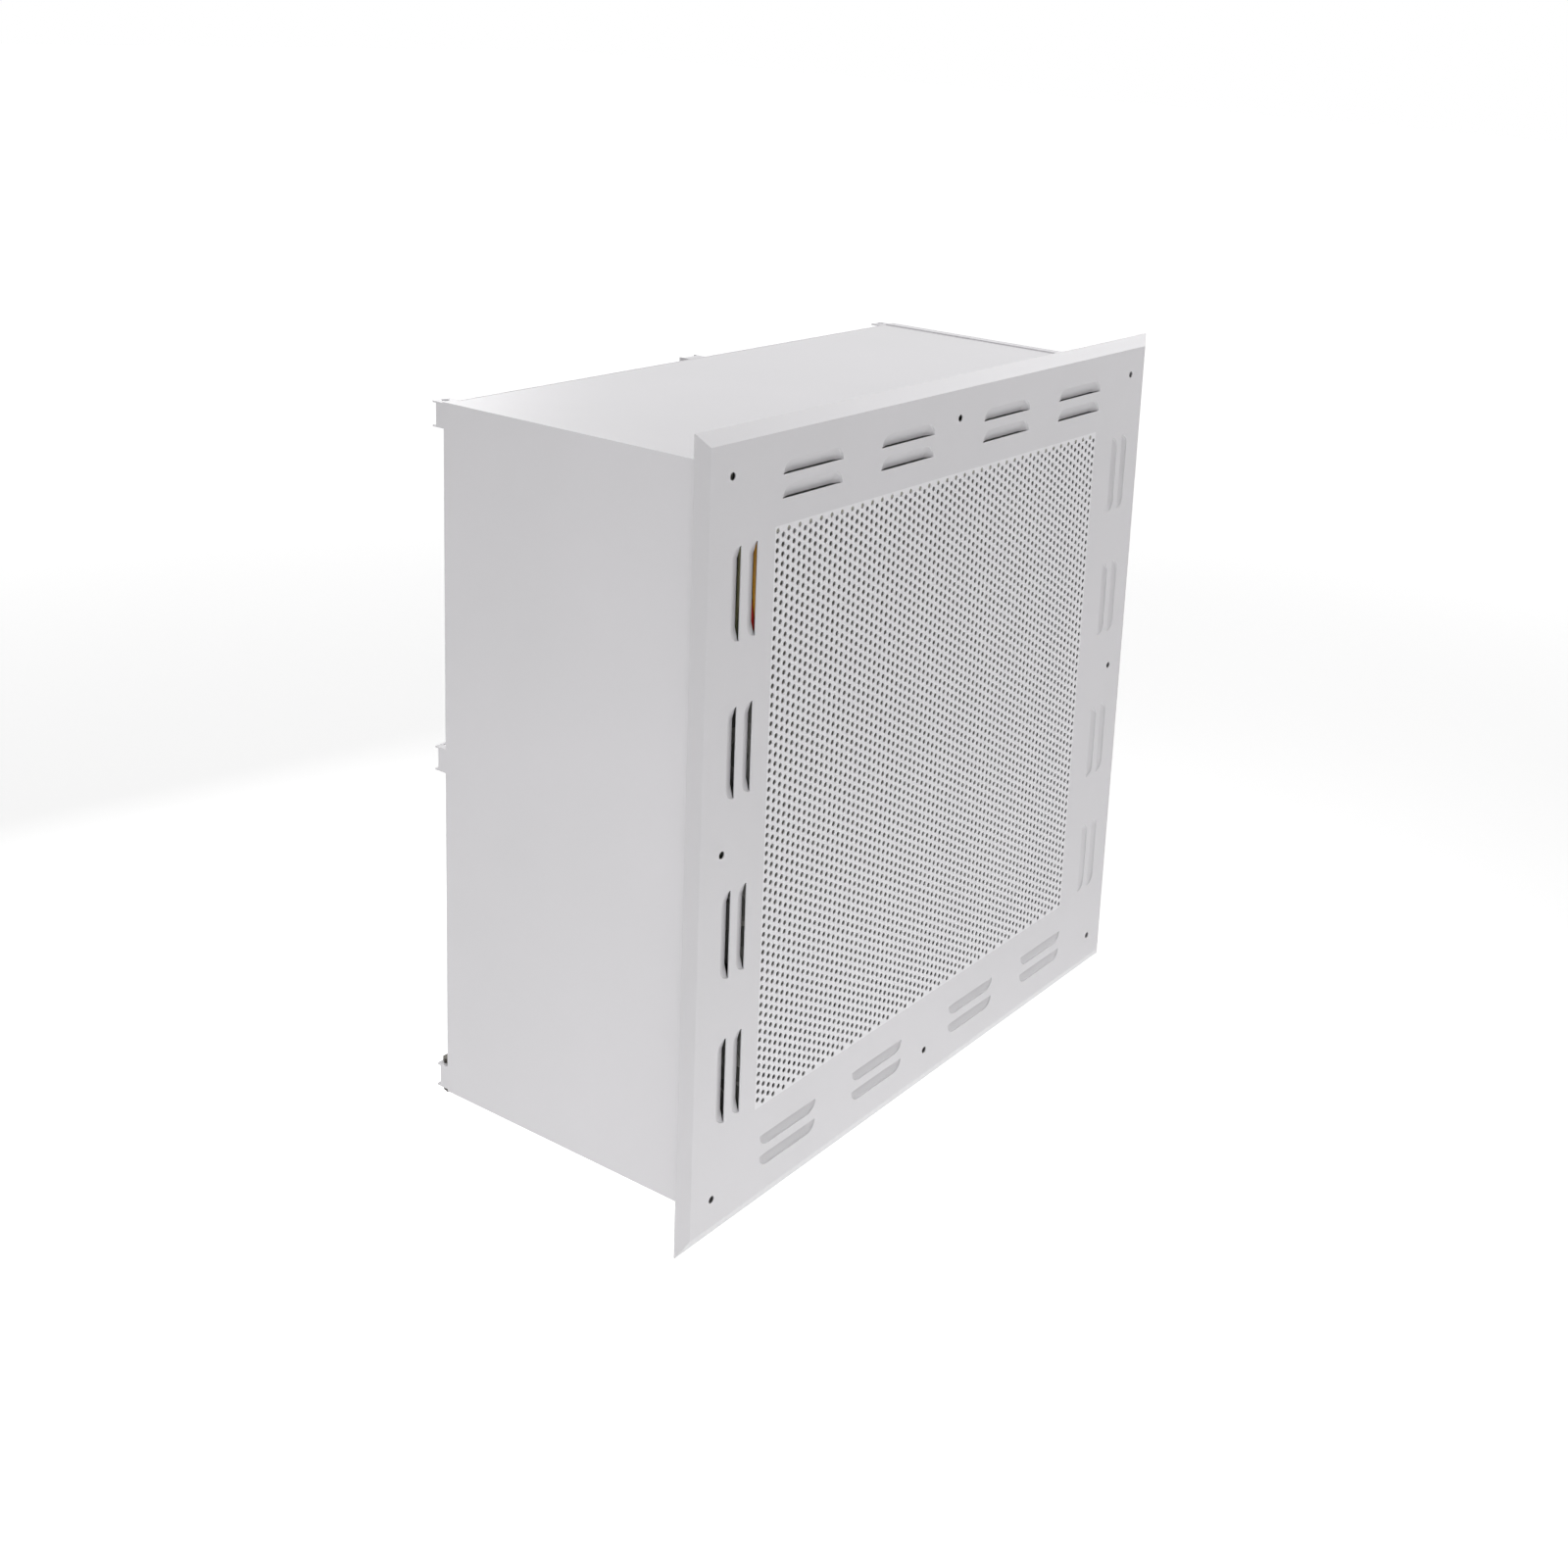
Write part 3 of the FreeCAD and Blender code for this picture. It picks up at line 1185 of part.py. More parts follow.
def lead_line():
    """Middle of the row of leads on the left wall, as depth and height: forward, down, and to the rear."""
    front = num("leadfront")
    deep = num("leady - connectorlong/2")
    up = num("leadz")
    line = [(deep, up), (0.85 * deep, up), (0.55 * deep, up + 4)]
    line += [(0.35 * deep, up + 28), (0.24 * deep, up + 33)]
    line += [(front + 18, up + 26), (front + 11, up - 2), (front + 9, up - 24), (front + 9, up - 62)]
    line += [(front + 14, up - 88), (front + 40, up - 106), (front + 90, up - 108)]
    line.append((num("plenumrear") - 4, num("boxz")))
    return line


def make_leads():
    """Four leads side by side from the connector to the terminal box."""
    wire = num("wire")
    lane = -num("plenum/2") - wire / 2 - num("seatfit")
    step = num("leadpitch")
    deep = num(LEADLINE)
    entry = num("boxx - boxwide/2 + boxwall")
    line = lead_line()
    for place, colour in enumerate(LEADS):
        shift = (place - (len(LEADS) - 1) / 2) * step
        points = [FreeCAD.Vector(lane, across, up) for across, up in beside(line, shift)]
        height = num("boxz") + shift
        points.append(FreeCAD.Vector(lane, deep - 3 * wire, height))
        points.append(FreeCAD.Vector(lane + 3 * wire, deep, height))
        points.append(FreeCAD.Vector(entry + 2 * wire, deep, height))
        shape_piece("lead_" + colour, tube_along(points, wire, 6))


def make_lead_clips():
    """Two saddles that hold the row of leads on the plenum wall."""
    wall = -num("plenum/2")
    wire = num("wire")
    thick = num("clipsheet")
    room = wire + 2 * num("seatfit")
    half = num("leadpitch") * 2 + num("seatfit")
    wide = num("clipwide") / 2
    line = lead_line()
    clips = []
    for start, end, share in ((line[1], line[2], 0.5), (line[11], line[12], 0.3)):
        across = start[0] + (end[0] - start[0]) * share
        up = start[1] + (end[1] - start[1]) * share
        tilt = math.degrees(math.atan2(end[1] - start[1], end[0] - start[0]))
        low = FreeCAD.Vector(-room - thick, -wide / 2, -half - thick)
        saddle = Part.makeBox(room + thick, wide, 2 * half + 2 * thick, low)
        saddle = saddle.cut(Part.makeBox(room, wide, 2 * half, FreeCAD.Vector(-room, -wide / 2, -half)))
        saddle.rotate(FreeCAD.Vector(0, 0, 0), FreeCAD.Vector(1, 0, 0), tilt)
        saddle.translate(FreeCAD.Vector(wall, across, up))
        clips.append(saddle)
    return shape_piece("lead_clips", Part.makeCompound(clips))


# Building

make_face_panel()
square_ring("panel_seal_body", "panel_seal", SEALOUT, SEALIN, "sheet", FRONT)
square_ring("plenum_seal_body", "plenum_seal", PLENUM, "(plenum/2 - sheet - plenumlip)", "sheet", FRONT)
make_side_panel("casing_left", -1)
make_side_panel("casing_right", 1)
make_cross_panel("casing_top", 1)
make_cross_panel("casing_bottom", -1)
make_rear_cover()
make_cover_screws()
for lug in ROUND:
    make_lug(*lug)
make_lug_bolts()
for tab in TABS:
    make_tab(*tab)
make_tab_nuts()
make_plenum()
make_filter_seat()
FRAMEOUT = "(filter/2)"
FRAMEIN = "(filter/2 - filteredge)"
GASKETIN = "(filter/2 - filteredge + lugsheet)"
square_ring("filter_frame_body", "filter_frame", FRAMEOUT, FRAMEIN, "filterset", FILTERBACK)
make_filter_pack()
square_ring("filter_gasket_body", "filter_gasket", FRAMEOUT, GASKETIN, FILTERBACK, SEAT)
make_clamps()
make_clamp_screws()
make_inlet_ring()
make_plenum_screws()
make_impeller()
make_motor()
make_motor_mount()
for wall_name, turn in (("right", 0), ("bottom", 1), ("left", 2), ("top", 3)):
    make_stay(wall_name, turn)
make_capacitor()
make_capacitor_clip()
make_terminal_box()
make_gland()
make_motor_cable()
make_grommet()
make_connector()
make_leads()
make_lead_clips()

doc.recompute()
for thing in doc.Objects:
    if "Invalid" in thing.State or "Error" in thing.State:
        raise RuntimeError("%s did not build: %s" % (thing.Name, thing.State))
os.makedirs("parts", exist_ok=True)
for thing in finished:
    if thing.Shape.isNull() or not thing.Shape.isValid():
        raise RuntimeError("%s has no sound shape" % thing.Label)
    thing.Shape.exportStep(os.path.join("parts", thing.Label + ".step"))
    print(thing.Label, len(thing.Shape.Solids), round(thing.Shape.Volume / 1000.0, 2))
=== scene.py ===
# %% [markdown]
# # A fan-powered HEPA air outlet
# The real object is a square steel box with a white face: room air goes in through pressed louvres round
# the border, and filtered air comes out through the perforated middle. The construction is already a CAD
# model; this file loads it as a fixed frame, remakes the face with its true holes, and gives every piece
# the finish that the real one has.

# %% Load the frame
import json
import math
import bpy
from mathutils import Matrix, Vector


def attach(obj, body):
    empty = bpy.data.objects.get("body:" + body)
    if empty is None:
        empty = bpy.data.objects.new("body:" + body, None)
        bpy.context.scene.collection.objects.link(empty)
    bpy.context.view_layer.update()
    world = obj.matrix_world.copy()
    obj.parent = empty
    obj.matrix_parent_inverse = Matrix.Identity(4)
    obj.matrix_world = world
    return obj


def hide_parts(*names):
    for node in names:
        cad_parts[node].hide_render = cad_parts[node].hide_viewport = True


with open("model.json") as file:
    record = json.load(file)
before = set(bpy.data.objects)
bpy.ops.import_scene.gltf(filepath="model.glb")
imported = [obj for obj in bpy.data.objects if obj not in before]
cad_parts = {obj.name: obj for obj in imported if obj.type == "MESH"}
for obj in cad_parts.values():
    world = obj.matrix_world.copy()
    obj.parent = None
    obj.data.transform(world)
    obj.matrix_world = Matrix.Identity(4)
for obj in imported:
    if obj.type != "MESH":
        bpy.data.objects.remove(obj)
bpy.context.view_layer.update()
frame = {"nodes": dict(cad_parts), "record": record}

# %% [markdown]
# Everything below is drawn in millimetres and multiplied by MM, because Blender works in metres.
# An operator acts on whatever is selected, so each helper first empties the selection.

# %% Small tools for modelling
MM = 0.001
UPRIGHT = (math.pi / 2, 0, 0)  # stands a primitive up, with its top towards the front


def only(*objects):
    """Selects these objects and nothing else, and makes the first one active."""
    if bpy.context.object and bpy.context.object.mode != "OBJECT":
        bpy.ops.object.mode_set(mode="OBJECT")
    bpy.ops.object.select_all(action="DESELECT")
    for thing in objects:
        thing.select_set(True)
    bpy.context.view_layer.objects.active = objects[0]


def named(name):
    """Names the primitive that was just added, and puts its place into its mesh."""
    thing = bpy.context.object
    thing.name = name
    thing.data.name = name
    bpy.ops.object.transform_apply(location=True, rotation=True, scale=True)
    return thing


def mark(thing, kind, test):
    """Opens edit mode with only those vertices or edges selected whose middle passes the test."""
    only(thing)
    bpy.ops.object.mode_set(mode="EDIT")
    bpy.ops.mesh.select_mode(type=kind)
    bpy.ops.mesh.select_all(action="DESELECT")
    bpy.ops.object.mode_set(mode="OBJECT")
    vertices = thing.data.vertices
    if kind == "VERT":
        for vertex in vertices:
            vertex.select = bool(test(vertex.co))
    else:
        for edge in thing.data.edges:
            start, end = edge.vertices
            edge.select = bool(test((vertices[start].co + vertices[end].co) / 2))
    bpy.ops.object.mode_set(mode="EDIT")


def copied(thing, name):
    """A copy that has its own mesh."""
    twin = thing.copy()
    twin.data = thing.data.copy()
    twin.name = name
    bpy.context.collection.objects.link(twin)
    return twin


def joined(name, pieces):
    """Joins pieces into the first one."""
    only(*pieces)
    bpy.ops.object.join()
    whole = bpy.context.object
    whole.name = name
    return whole


def shift(thing, across=0.0, deep=0.0, up=0.0):
    """Moves a finished mesh by millimetres."""
    only(thing)
    thing.location = (across * MM, deep * MM, up * MM)
    bpy.ops.object.transform_apply(location=True, rotation=False, scale=False)


def turn(thing, axis, degrees):
    """Turns a mesh about one axis through the origin."""
    only(thing)
    thing.rotation_euler = [math.radians(degrees) if letter == axis else 0.0 for letter in "XYZ"]
    bpy.ops.object.transform_apply(location=False, rotation=True, scale=False)


def finish_with(thing, kind, **settings):
    """Adds a modifier with its settings and applies it."""
    only(thing)
    modifier = thing.modifiers.new(kind.title(), kind)
    for key, value in settings.items():
        setattr(modifier, key, value)
    bpy.ops.object.modifier_apply(modifier=modifier.name)


def triangles(thing):
    """How many triangles a mesh has."""
    thing.data.calc_loop_triangles()
    return len(thing.data.loop_triangles)


# %% [markdown]
# ## The perforated middle
# The real sheet is common perforated steel at 8 mm pitch, every second column half a pitch lower, 72
# columns of 63 holes. They are drawn 4.5 mm wide, which looks closest to the photograph. A boolean cut of
# 4536 holes would be slow, so one small cell, a rectangle with a hole in it, is modelled once and repeated
# by Array modifiers. The cell has a vertex at the middle of each side, so that staggered columns meet
# corner to corner.

# %% One cell of the perforated sheet
PITCH = 8.0
COLUMN = PITCH * math.sqrt(3) / 2
HOLE = 4.5
HOLE_SIDES = 12
COLUMNS = 72
ROWS = 63
SHEET = 1.0  # thickness of all the panel's sheet
WELD = 0.05  # vertices that lie closer than this become one
FIELD_HALF_WIDE = COLUMNS * COLUMN / 2
FIELD_HALF_TALL = (ROWS + 0.5) * PITCH / 2
FIELD_MIDDLE = (-5.0, 4.0)  # the field stands a little left of and above the panel's middle


def grid_frame(wide, tall, columns, rows):
    """Flat upright grid whose faces look to the front, -Y."""
    bpy.ops.object.select_all(action="DESELECT")
    bpy.ops.mesh.primitive_grid_add(x_subdivisions=columns, y_subdivisions=rows, size=1, rotation=UPRIGHT)
    bpy.context.object.scale = (wide * MM, tall * MM, 1)
    return named("grid")


def perforated_cell():
    """Rectangle with a twelve-sided hole, one hole pitch tall."""
    plate = grid_frame(COLUMN, PITCH, 2, 2)
    mark(plate, "VERT", lambda place: place.length < WELD * MM)
    bpy.ops.mesh.delete(type="VERT")
    bpy.ops.object.mode_set(mode="OBJECT")
    bpy.ops.object.select_all(action="DESELECT")
    bpy.ops.mesh.primitive_circle_add(vertices=HOLE_SIDES, radius=HOLE / 2 * MM, rotation=UPRIGHT)
    ring = named("ring")
    cell = joined("cell", [plate, ring])
    bpy.ops.object.mode_set(mode="EDIT")
    bpy.ops.mesh.select_mode(type="EDGE")
    bpy.ops.mesh.select_all(action="SELECT")
    bpy.ops.mesh.bridge_edge_loops()
    bpy.ops.object.mode_set(mode="OBJECT")
    return cell


def repeated(thing, count, across, up):
    """Row of copies joined at their shared edges."""
    finish_with(
        thing,
        "ARRAY",
        count=count,
        use_relative_offset=False,
        use_constant_offset=True,
        constant_offset_displace=(across * MM, 0, up * MM),
        use_merge_vertices=True,
        merge_threshold=WELD * MM,
    )


cell = perforated_cell()
shift(cell, 0, 0, (ROWS - 1) / 2 * PITCH + PITCH / 4)
repeated(cell, ROWS, 0, -PITCH)
print("one column:", len(cell.data.polygons), "faces")

# %% [markdown]
# A column is 63 cells and a plain half cell, at its foot in one column and at its head in the next, which
# makes the sheet's edge straight. Two columns make the unit that repeats sideways. The sheet is kept in
# three pieces, so that no one mesh has too many triangles.

# %% The field in three pieces
PIECES = 3


def perforated_field(column):
    """The whole field as flat pieces, left, middle and right."""
    foot = grid_frame(COLUMN, PITCH / 2, 2, 1)
    head = copied(foot, "head")
    shift(foot, 0, 0, -FIELD_HALF_TALL + PITCH / 4)
    second = copied(column, "second")
    shift(second, COLUMN, 0, -PITCH / 2)
    shift(head, COLUMN, 0, FIELD_HALF_TALL - PITCH / 4)
    unit = joined("unit", [column, foot, second, head])
    only(unit)
    bpy.ops.object.mode_set(mode="EDIT")
    bpy.ops.mesh.select_all(action="SELECT")
    bpy.ops.mesh.remove_doubles(threshold=WELD * MM)
    bpy.ops.object.mode_set(mode="OBJECT")
    shift(unit, -FIELD_HALF_WIDE + COLUMN / 2)
    share = COLUMNS // 2 // PIECES
    repeated(unit, share, 2 * COLUMN, 0)
    fields = [unit]
    for place in range(1, PIECES):
        twin = copied(unit, "field")
        shift(twin, place * share * 2 * COLUMN)
        fields.append(twin)
    return fields


def faces_front(thing):
    """Turns every face of a flat sheet towards -Y."""
    only(thing)
    bpy.ops.object.mode_set(mode="EDIT")
    bpy.ops.mesh.select_all(action="SELECT")
    bpy.ops.mesh.normals_make_consistent(inside=False)
    bpy.ops.object.mode_set(mode="OBJECT")
    if thing.data.polygons[0].normal.y > 0:
        bpy.ops.object.mode_set(mode="EDIT")
        bpy.ops.mesh.flip_normals()
        bpy.ops.object.mode_set(mode="OBJECT")


field_pieces = perforated_field(cell)
for place, piece in enumerate(field_pieces):
    piece.name = "perforated_sheet_" + ("left", "middle", "right")[place]
    faces_front(piece)
    finish_with(piece, "SOLIDIFY", thickness=SHEET * MM, offset=-1.0)
    shift(piece, FIELD_MIDDLE[0], 0, FIELD_MIDDLE[1])
    print(piece.name, triangles(piece), "triangles")

# %% [markdown]
# ## The border with its louvres
# Each louvre is a tongue of the sheet, pressed inwards while one long side is sheared free: a slit on the
# side of the perforated middle and a soft shoulder on the side of the rim. The plate is cut once with all
# the openings, and one tongue is modelled and copied into each.

# %% One louvre tongue
LOUVRE_LONG = 77.0
LOUVRE_REACH = 11.0
END_STEPS = 8
END_SIDES = 48  # sides of the round cutter that opens a louvre's ends
# Height above the slit and depth behind the face, from the free edge to the shoulder.
TONGUE_PROFILE = [
    (0.0, 4.6), (3.2, 3.7), (6.4, 2.8), (9.5, 1.9),
    (10.2, 1.6), (10.6, 1.15), (10.85, 0.55), (11.0, 0.0),
]


def louvre_tongue():
    """Straight strip bent to the profile, with a spun quarter round at each end."""
    straight = LOUVRE_LONG - 2 * LOUVRE_REACH
    rows = len(TONGUE_PROFILE) - 1
    strip = grid_frame(straight, LOUVRE_REACH, 1, rows)
    shift(strip, 0, 0, LOUVRE_REACH / 2)
    for vertex in strip.data.vertices:
        row = round(vertex.co.z / (LOUVRE_REACH * MM) * rows)
        up, deep = TONGUE_PROFILE[row]
        vertex.co.z = up * MM
        vertex.co.y = deep * MM
    for side in (-1, 1):
        edge = side * straight / 2 * MM
        mark(strip, "EDGE", lambda place: abs(place.x - edge) < WELD * MM)
        quarter = -side * math.pi / 2
        bpy.ops.mesh.spin(steps=END_STEPS, angle=quarter, center=(edge, 0, 0), axis=(0, 1, 0))
        bpy.ops.object.mode_set(mode="OBJECT")
    bpy.ops.object.mode_set(mode="EDIT")
    bpy.ops.mesh.select_all(action="SELECT")
    bpy.ops.mesh.remove_doubles(threshold=WELD * MM)
    bpy.ops.object.mode_set(mode="OBJECT")
    faces_front(strip)
    strip.name = "tongue"
    return strip


tongue = louvre_tongue()
low = min(vertex.co.z for vertex in tongue.data.vertices) / MM
high = max(vertex.co.z for vertex in tongue.data.vertices) / MM
wide = max(vertex.co.x for vertex in tongue.data.vertices) / MM
print("tongue from %.1f to %.1f mm, half length %.1f mm" % (low, high, wide))
finish_with(tongue, "SOLIDIFY", thickness=SHEET * MM, offset=-1.0)

# %% The plate, its openings and its screw holes
FLAT = 332.9  # half the width of the level part
CUT = 6.0  # depth of a cutter, through the sheet and more
SLIT_FROM_MIDDLE = 298.5  # the outer slit of each pair
SLIT_STEP = 19.5
GROUPS = (-208.0, -77.7, 77.7, 208.0)  # middles of the four pairs along a side
# How far each side's louvres stand along it and outwards from an even layout; top, right, bottom, left.
SIDE_OFFSETS = [(0.0, 0.0), (0.0, 0.0), (0.0, 0.0), (4.6, -4.0)]
SCREW_SPACING = 307.5
SCREW_HOLE = 6.5
SCREW_SIDES = 32


def box_piece(name, size, place):
    """Plain block from its sizes and middle in millimetres, used as a blank or a cutter."""
    bpy.ops.object.select_all(action="DESELECT")
    bpy.ops.mesh.primitive_cube_add(size=1, location=[value * MM for value in place])
    bpy.context.object.scale = [value * MM for value in size]
    return named(name)


def louvre_cutter():
    """Half of a long round-ended block, as deep as the sheet and a little more."""
    half_step = math.pi / END_SIDES
    bpy.ops.object.select_all(action="DESELECT")
    bpy.ops.mesh.primitive_cylinder_add(
        vertices=END_SIDES, radius=LOUVRE_REACH * MM, depth=CUT * MM, rotation=(0, 0, half_step)
    )
    cutter = named("cutter")
    turn(cutter, "X", 90)
    for vertex in cutter.data.vertices:
        vertex.co.x += math.copysign((LOUVRE_LONG / 2 - LOUVRE_REACH) * MM, vertex.co.x)
    bpy.ops.object.mode_set(mode="EDIT")
    bpy.ops.mesh.select_all(action="SELECT")
    bpy.ops.mesh.bisect(plane_co=(0, 0, 0), plane_no=(0, 0, 1), clear_inner=True, use_fill=True)
    bpy.ops.object.mode_set(mode="OBJECT")
    return cutter


def louvre_places():
    """Turn about Y, place along the border and distance of the slit from the middle."""
    lines = (SLIT_FROM_MIDDLE, SLIT_FROM_MIDDLE - SLIT_STEP)
    places = []
    for quarter, (slide, out) in enumerate(SIDE_OFFSETS):
        places += [(90 * quarter, along + slide, line + out) for along in GROUPS for line in lines]
    return places


def at_louvres(source, name):
    """Copies of a piece at all 32 louvres, joined into one mesh; the source itself is used up."""
    copies = []
    for degrees, along, line in louvre_places():
        twin = copied(source, name)
        shift(twin, along, 0, line)
        turn(twin, "Y", degrees)
        copies.append(twin)
    bpy.data.objects.remove(source)
    return joined(name, copies)


def screw_cutters():
    """Round cutters at the eight screw holes."""
    cutters = []
    for across in (-1, 0, 1):
        for up in (-1, 0, 1):
            if across or up:
                place = (across * SCREW_SPACING * MM, 0, up * SCREW_SPACING * MM)
                bpy.ops.object.select_all(action="DESELECT")
                bpy.ops.mesh.primitive_cylinder_add(
                    vertices=SCREW_SIDES, radius=SCREW_HOLE / 2 * MM, depth=CUT * MM, location=place,
                    rotation=UPRIGHT,
                )
                cutters.append(named("screw_cutter"))
    return joined("screw_cutters", cutters)


plate = box_piece("panel_border", (2 * FLAT, SHEET, 2 * FLAT), (0, SHEET / 2, 0))
window_size = (2 * FIELD_HALF_WIDE, CUT, 2 * FIELD_HALF_TALL)
window = box_piece("window", window_size, (FIELD_MIDDLE[0], 0, FIELD_MIDDLE[1]))
cutters = joined("cutters", [window, at_louvres(louvre_cutter(), "louvre_cutters"), screw_cutters()])
finish_with(plate, "BOOLEAN", operation="DIFFERENCE", solver="EXACT", object=cutters)
bpy.data.objects.remove(cutters)
print("plate with its openings:", triangles(plate), "triangles")

# %% [markdown]
# The rim is folded back all round, with mitred corners. A square outline is extruded outwards, first level
# to the fold and then down the slope to the raw edge.

# %% The sloped rim
# Half the width at the fold and at the raw edge, and how far each lies behind the face.
RIM_STEPS = [(333.5, 0.0), (345.0, 6.0)]
SMOOTH_BELOW = 24.0  # degrees between two faces under which their edge is drawn soft


def sloped_rim():
    """Square outline extruded outwards and back."""
    bpy.ops.object.select_all(action="DESELECT")
    bpy.ops.mesh.primitive_plane_add(size=2 * FLAT * MM, rotation=UPRIGHT)
    rim = named("rim")
    bpy.ops.object.mode_set(mode="EDIT")
    bpy.ops.mesh.select_all(action="SELECT")
    bpy.ops.mesh.delete(type="ONLY_FACE")
    bpy.ops.mesh.select_all(action="SELECT")
    half, depth = FLAT, 0.0
    for reach, fall in RIM_STEPS:
        step_back = (0, (fall - depth) * MM, 0)
        bpy.ops.mesh.extrude_edges_move(TRANSFORM_OT_translate={"value": step_back})
        bpy.ops.transform.resize(value=(reach / half, 1, reach / half), center_override=(0, 0, 0))
        half, depth = reach, fall
    bpy.ops.object.mode_set(mode="OBJECT")
    faces_front(rim)
    return rim


rim = sloped_rim()
finish_with(rim, "SOLIDIFY", thickness=SHEET * MM, offset=-1.0, use_even_offset=True)
spread = max(vertex.co.x for vertex in rim.data.vertices) / MM
back = max(vertex.co.y for vertex in rim.data.vertices) / MM
print("rim reaches %.2f mm out and %.2f mm back" % (spread, back))

# %% Border, tongues and rim as one sheet
tongues = at_louvres(tongue, "tongues")
border = joined("panel_border", [plate, rim, tongues])
only(border)
bpy.ops.object.shade_smooth_by_angle(angle=math.radians(SMOOTH_BELOW))
print("border:", triangles(border), "triangles")

for piece in [border] + field_pieces:
    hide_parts("face_panel")
    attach(piece, "casing_body")

# %% [markdown]
# ## The motor leads
# Through the upper left louvres the photograph shows brown, golden, dark red and olive wires. They are
# soft, so each is a smooth curve with a round section: from the connector forward, down behind the
# louvres with one loose twist, and back to the terminal box.

# %% Four twisted leads
LEAD = 3.4  # outside width of a lead
LEAD_STEP = 4.4  # from one lead to the next
LANE = -264.0  # where the leads run, between the plenum and the left wall
# Height, place off the wall and depth behind the louvres, for each lead.
TWISTS = {
    "brown": [
        (252, 0, 8), (232, 0, 6.8), (215, 0, 6.8), (205, 0, 9.5),
        (195, 0, 12), (178, 0, 15.5), (160, 0, 17),
    ],
    "yellow": [
        (256, 0, 12), (232, 0, 11.2), (216, -1, 10.8), (205, -5, 7),
        (197, -4.5, 6.5), (189, -2.5, 9.5), (176, -1, 12), (160, 0, 13.5),
    ],
    "red": [
        (259, 0, 16), (232, 0, 15.6), (214, -1, 15), (202, -6, 11.5),
        (192, -8, 7.2), (183, -7, 6.6), (174, -3.5, 9), (160, -3.8, 11.5),
    ],
    "green": [
        (262, -6, 21), (240, -8, 20.4), (215, -8, 20.2),
        (195, -8, 20.6), (182, -3, 26), (160, -3.8, 24),
    ],
}


def lead_route(place, colour):
    """Points in millimetres from the connector to the terminal box."""
    row = (place - 1.5) * LEAD_STEP
    forward = [
        (LANE, 127, 232 + row), (LANE, 100, 232 + row), (LANE, 88.9, 234 + row),
        (LANE, 70, 238 + row), (LANE, 44 + row, 262 - row / 3),
    ]
    behind_louvres = [(LANE + off, depth, height) for height, off, depth in TWISTS[colour]]
    back = [
        (LANE, 22 + row, 141), (LANE, 46 + row / 2, 128 + row), (LANE, 95, 124 + row),
        (LANE, 170, 134 + row), (LANE, 240, 150 + row), (LANE + 4, 251, 150 + row),
        (-196, 251, 150 + row),
    ]
    return forward + behind_louvres + back


def soft_lead(name, points):
    """Smooth tube along the points."""
    curve = bpy.data.curves.new(name, "CURVE")
    curve.dimensions = "3D"
    curve.bevel_depth = LEAD / 2 * MM
    curve.bevel_resolution = 2
    curve.use_fill_caps = True
    spline = curve.splines.new("NURBS")
    spline.points.add(len(points) - 1)
    for point, place in zip(spline.points, points):
        point.co = [value * MM for value in place] + [1.0]
    spline.order_u = 3
    spline.use_endpoint_u = True
    spline.resolution_u = 6
    thing = bpy.data.objects.new(name, curve)
    bpy.context.collection.objects.link(thing)
    only(thing)
    bpy.ops.object.convert(target="MESH")
    bpy.ops.object.shade_smooth()
    return bpy.context.object


soft_leads = {}
for place, colour in enumerate(("brown", "yellow", "red", "green")):
    piece = soft_lead("soft_lead_" + colour, lead_route(place, colour))
    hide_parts("lead_" + colour)
    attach(piece, "casing_body")
    soft_leads[colour] = piece
    print(piece.name, triangles(piece), "triangles")

# %% [markdown]
# ## Finishes
# Colours are written as the sRGB hex values that a colour picker shows, and one function turns them into
# the linear numbers that the shader needs. One other function adds a node with its settings and links.

# %% Colour and node helpers


def linear(code):
    """Linear colour of a hex value such as #D8D8D6."""
    parts = [int(code[place:place + 2], 16) / 255 for place in (1, 3, 5)]
    return [part / 12.92 if part <= 0.04045 else ((part + 0.055) / 1.055) ** 2.4 for part in parts] + [1.0]


def add(tree, kind, settings=None, links=None):
    """Adds a node; settings go to its sockets or properties, links come from other nodes' sockets."""
    node = tree.nodes.new(kind)
    for key, value in (settings or {}).items():
        if key in node.inputs:
            node.inputs[key].default_value = value
        else:
            setattr(node, key, value)
    for key, source in (links or {}).items():
        tree.links.new(source, node.inputs[key])
    return node


def new_finish(name, **settings):
    """Material with one shader; gives the material, its tree, the shader and object coordinates."""
    material = bpy.data.materials.new(name)
    material.use_nodes = True
    tree = material.node_tree
    tree.nodes.clear()
    sockets = {key.replace("_", " "): value for key, value in settings.items()}
    shader = add(tree, "ShaderNodeBsdfPrincipled", sockets)
    add(tree, "ShaderNodeOutputMaterial", links={"Surface": shader.outputs["BSDF"]})
    place = add(tree, "ShaderNodeTexCoord").outputs["Object"]
    return material, tree, shader, place


def per_metre(size_mm):
    """Texture scale that repeats once in so many millimetres."""
    return 1000.0 / size_mm


def blend_colours(tree, factor, dark, light):
    """Two-colour ramp driven by a factor."""
    ramp = add(tree, "ShaderNodeValToRGB", links={"Fac": factor})
    ramp.color_ramp.elements[0].color = linear(dark)
    ramp.color_ramp.elements[1].color = linear(light)
    return ramp.outputs["Color"]


def bumped(tree, shader, height, distance_mm, strength):
    """Feeds a height into the shader's normal."""
    settings = {"Distance": distance_mm * MM, "Strength": strength}
    bump = add(tree, "ShaderNodeBump", settings, {"Height": height})
    tree.links.new(bump.outputs["Normal"], shader.inputs["Normal"])


